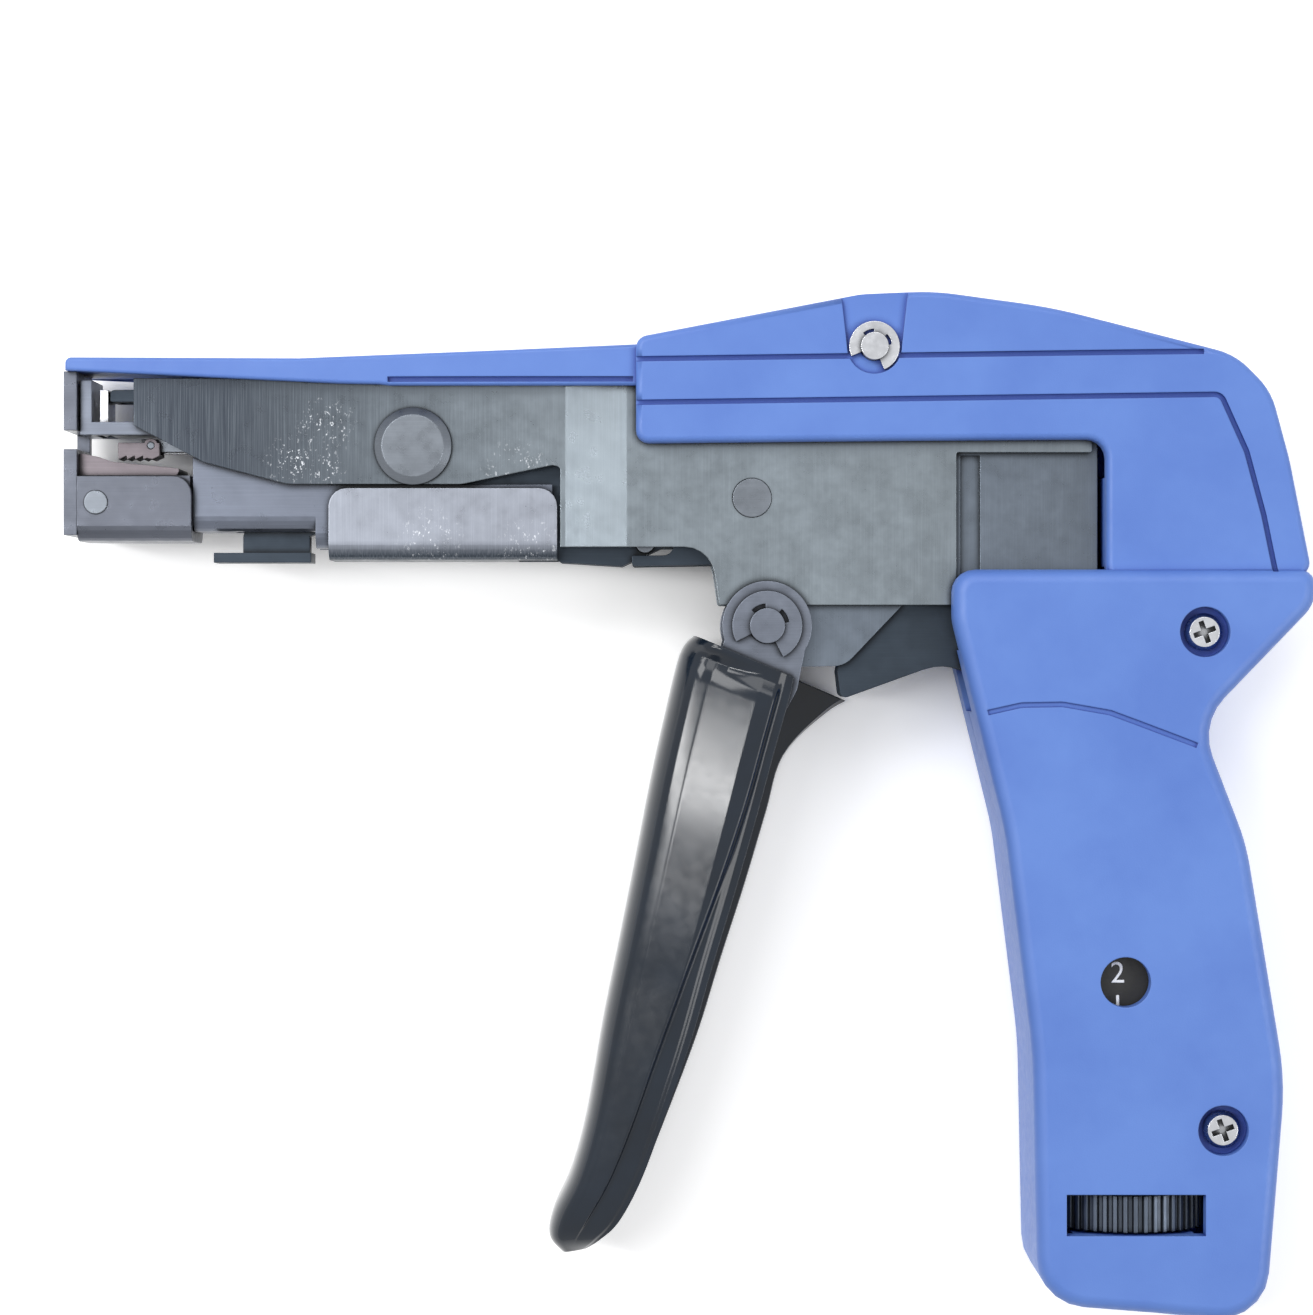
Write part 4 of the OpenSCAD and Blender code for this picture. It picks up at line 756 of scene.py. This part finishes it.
def spring_tree(name, values, material):
    """A node tree for a round wire wound about Z, from the origin upwards."""
    group = bpy.data.node_groups.new(name, "GeometryNodeTree")
    group.interface.new_socket("Geometry", in_out="OUTPUT", socket_type="NodeSocketGeometry")
    identifiers = {}
    for label, value in values.items():
        socket = group.interface.new_socket(label, in_out="INPUT", socket_type="NodeSocketFloat")
        socket.default_value = value
        identifiers[label] = socket.identifier
    nodes = Nodes(group)
    asked = nodes.add("NodeGroupInput").outputs
    helix = nodes.add("GeometryNodeCurveSpiral", {
        "Resolution": TURN_POINTS, "Start Radius": asked["Radius"], "End Radius": asked["Radius"],
        "Height": asked["Rise"], "Rotations": asked["Turns"]})
    profile = nodes.add("GeometryNodeCurvePrimitiveCircle",
                        {"Resolution": WIRE_POINTS, "Radius": asked["Wire"]})
    sweep = nodes.add("GeometryNodeCurveToMesh", {
        "Fill Caps": True, "Curve": helix.outputs["Curve"],
        "Profile Curve": profile.outputs["Curve"]})
    real = nodes.add("GeometryNodeRealizeInstances", {"Geometry": sweep.outputs["Mesh"]})
    coat = nodes.add("GeometryNodeSetMaterial", {"Material": material,
                                                 "Geometry": real.outputs["Geometry"]})
    nodes.add("NodeGroupOutput", {"Geometry": coat.outputs["Geometry"]})
    return group, identifiers


def wound(name, values, material):
    """A spring from its node tree, as a plain mesh about Z at the origin."""
    tree, identifiers = spring_tree(name + "_winding", values, material)
    piece = new_object(name, bpy.data.meshes.new(name))
    step = piece.modifiers.new("winding", "NODES")
    step.node_group = tree
    for label, value in values.items():
        step[identifiers[label]] = float(value)
    return baked(piece, name)


class TENSIONER_OT_springs(bpy.types.Operator):
    """Round wire of the tension spring, wound by a node tree"""
    bl_idname = "tensioner.springs"
    bl_label = "Tension spring"

    def execute(self, context):
        steel = bpy.data.materials["bright_plating"]
        low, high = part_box("tension_spring")
        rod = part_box("threaded_rod")
        piece = wound("tension_spring_wire", {
            "Radius": SPRING_RADIUS, "Wire": WIRE_RADIUS,
            "Rise": high[1] - low[1] - 2 * WIRE_RADIUS,
            "Turns": context.scene.tensioner_adjuster.turns}, steel)
        foot = ((rod[0][0] + rod[1][0]) / 2, low[1] + WIRE_RADIUS, MID * MM)
        piece.data.transform(Matrix.Translation(foot) @ Matrix.Rotation(-math.pi / 2, 4, "X"))
        smooth(piece.data, 60)
        finished(piece, steel, "frame", "bright_steel", "tension_spring")
        return {"FINISHED"}


# Centres of the figures on the scale, in millimetres
FIGURES = (("1", (56.7, -26.46)), ("2", (56.7, -22.08)), ("3", (56.7, -17.7)))
# Height of a figure as a share of its font size, and the thickness of its paint
FIGURE_SHARE, PAINT_THICK = .7, .00002


class TENSIONER_OT_adjuster(bpy.types.Operator):
    """Knurled wheel, black scale strip and its white figures"""
    bl_idname = "tensioner.adjuster"
    bl_label = "Tension adjuster"

    def execute(self, context):
        look = context.scene.tensioner_adjuster
        wheel = tuple(look.wheel)
        dress(rolled_steel("wheel_black", wheel, scaled(wheel, .6), .3, "x", rough=.36),
              "tension_wheel")
        dress(matt_plastic("scale_black", tuple(look.strip)), "number_carriage")
        paint = matt_plastic("figure_white", tuple(look.figure))
        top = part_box("number_carriage")[1][2]
        for text, at in FIGURES:
            name = "figure_" + text
            line = bpy.data.curves.new(name, "FONT")
            line.body, line.size = text, look.figure_height / FIGURE_SHARE
            line.extrude = PAINT_THICK
            piece = baked(new_object(name, line), name)
            middle = Vector((0, 0, 0))
            for axis in range(2):
                reach = [v.co[axis] for v in piece.data.vertices]
                middle[axis] = (min(reach) + max(reach)) / 2
            spot = Vector((at[0] * MM, at[1] * MM, top))
            piece.data.transform(Matrix.Translation(spot - middle))
            finished(piece, paint, "carriage", "black_plastic")
        return {"FINISHED"}


# Half size of the floor, and how far it lies below the tool
FLOOR_HALF, FLOOR_DROP = 3, .0002
# Painted shade on the floor near the tool and under its gaps: its reach, the open share that it spans, and
# the glow beyond
SHADE_REACH, SHADE_SPAN, FLOOR_GLOW = .02, (.25, .5), .42
# Distance from the tool over which the floor turns plain white
FAR_SPAN = (.12, .35)
# Strength of the world's light on the tool
WORLD_LIGHT = .25
# Lamps: name, place, sides, power, and turn in degrees about the line to the tool
LAMPS = (("key", (-.45, .45, .7), (.35, .35), 2.7, 0),
         ("fill", (.6, -.15, .55), (.4, .4), 2.1, 0),
         ("back", (.05, .65, .75), (.5, .5), 2.4, 0),
         ("soft_box", (-.515, .095, .776), (.07, .66), 3.2, -4))
# The camera's place over the tool, the height that its distance counts from, and its sensor
CAMERA_AT, CAMERA_BASE, SENSOR = (-.00403, .01936), .018, 36


def floor_paint(white):
    """Floor that the camera and mirrored rays see as white, with a soft painted shade round the tool."""
    finish = Finish("floor_white")
    path = finish.add("ShaderNodeLightPath").outputs
    seen = finish.math("ADD", path["Is Camera Ray"], path["Is Glossy Ray"], clamp=True)
    # Painted shade: the glow is dimmed where the tool closes the floor in
    open_sky = finish.add("ShaderNodeAmbientOcclusion", {"Distance": SHADE_REACH},
                          samples=6).outputs["AO"]
    shaded_glow = finish.math("MULTIPLY", seen, finish.ranged(open_sky, SHADE_SPAN, (0, FLOOR_GLOW)))
    away = finish.add("ShaderNodeVectorMath", {0: finish.place}, operation="LENGTH")
    far = finish.math("MULTIPLY", finish.ranged(away.outputs["Value"], FAR_SPAN),
                      path["Is Camera Ray"])
    matt = finish.add("ShaderNodeBsdfDiffuse", {"Color": (*white, 1)})
    glow = finish.add("ShaderNodeEmission", {"Strength": finish.math("MAXIMUM", shaded_glow, far)})
    both = finish.add("ShaderNodeAddShader", {0: matt.outputs[0], 1: glow.outputs[0]})
    finish.add("ShaderNodeOutputMaterial", {"Surface": both.outputs[0]})
    return finish.material


def studio_world():
    """World that is white where it is seen or mirrored, and dim where it lights."""
    world = bpy.data.worlds.new("studio")
    world.use_nodes = True
    nodes = Nodes(world.node_tree)
    path = nodes.add("ShaderNodeLightPath").outputs
    through = nodes.math("ADD", path["Is Camera Ray"], path["Is Transmission Ray"])
    looked_at = nodes.math("ADD", through, path["Is Glossy Ray"], clamp=True)
    dim, white = (nodes.add("ShaderNodeBackground", {"Color": (1, 1, 1, 1), "Strength": strength})
                  for strength in (WORLD_LIGHT, 1))
    mix = nodes.add("ShaderNodeMixShader", {0: looked_at, 1: dim.outputs[0], 2: white.outputs[0]})
    nodes.add("ShaderNodeOutputWorld", {"Surface": mix.outputs[0]})
    return world


def add_lamp(name, spot, sides, power, turn):
    """A rectangular lamp that faces the tool."""
    lamp = bpy.data.lights.new(name, "AREA")
    lamp.shape, lamp.energy = "RECTANGLE", power
    lamp.size, lamp.size_y = sides
    holder = new_object(name, lamp)
    holder.location = spot
    aim = Vector(spot).to_track_quat("Z", "Y")
    holder.rotation_euler = (aim @ Quaternion((0, 0, 1), math.radians(turn))).to_euler()


class TENSIONER_OT_stage(bpy.types.Operator):
    """Pale floor, soft lamps and the camera straight above"""
    bl_idname = "tensioner.stage"
    bl_label = "Stage"

    def execute(self, context):
        look = context.scene.tensioner_stage
        height = CAD_BOX[0][2] - FLOOR_DROP
        corners = [(x * FLOOR_HALF, y * FLOOR_HALF, height)
                   for x, y in ((-1, -1), (1, -1), (1, 1), (-1, 1))]
        floor = new_object("floor", mesh_of("floor", corners, [(0, 1, 2, 3)]))
        floor.data.materials.append(floor_paint(tuple(look.floor)))
        context.scene.world = studio_world()
        for lamp in LAMPS:
            add_lamp(*lamp)
        lens = bpy.data.cameras.new("camera")
        lens.lens, lens.sensor_width, lens.clip_start = look.lens, SENSOR, .01
        camera = new_object("camera", lens)
        camera.location = (*CAMERA_AT, CAMERA_BASE + look.distance)
        context.scene.camera = camera
        context.scene.view_settings.view_transform = "Standard"
        return {"FINISHED"}


class TENSIONER_PT_panel(bpy.types.Panel):
    bl_label = "Cable tie tensioner"
    bl_idname = "TENSIONER_PT_panel"
    bl_space_type = "VIEW_3D"
    bl_region_type = "UI"
    bl_category = "Tensioner"

    def draw(self, context):
        for operator in OPERATORS:
            self.layout.operator(operator.bl_idname)


LOOKS = {"tensioner_body": BodyLook, "tensioner_steel": SteelLook,
         "tensioner_handle": HandleLook, "tensioner_adjuster": AdjusterLook,
         "tensioner_stage": StageLook}
OPERATORS = (TENSIONER_OT_stage, TENSIONER_OT_body, TENSIONER_OT_steel, TENSIONER_OT_fasteners,
             TENSIONER_OT_handle, TENSIONER_OT_springs, TENSIONER_OT_adjuster)


def register():
    for kind in (*LOOKS.values(), *OPERATORS, TENSIONER_PT_panel):
        bpy.utils.register_class(kind)
    for name, kind in LOOKS.items():
        setattr(bpy.types.Scene, name, bpy.props.PointerProperty(type=kind))


def unregister():
    for name in LOOKS:
        delattr(bpy.types.Scene, name)
    for kind in reversed((*LOOKS.values(), *OPERATORS, TENSIONER_PT_panel)):
        bpy.utils.unregister_class(kind)


def main():
    register()
    for operator in OPERATORS:
        group, name = operator.bl_idname.split(".")
        getattr(getattr(bpy.ops, group), name)()


if __name__ == "__main__":
    main()
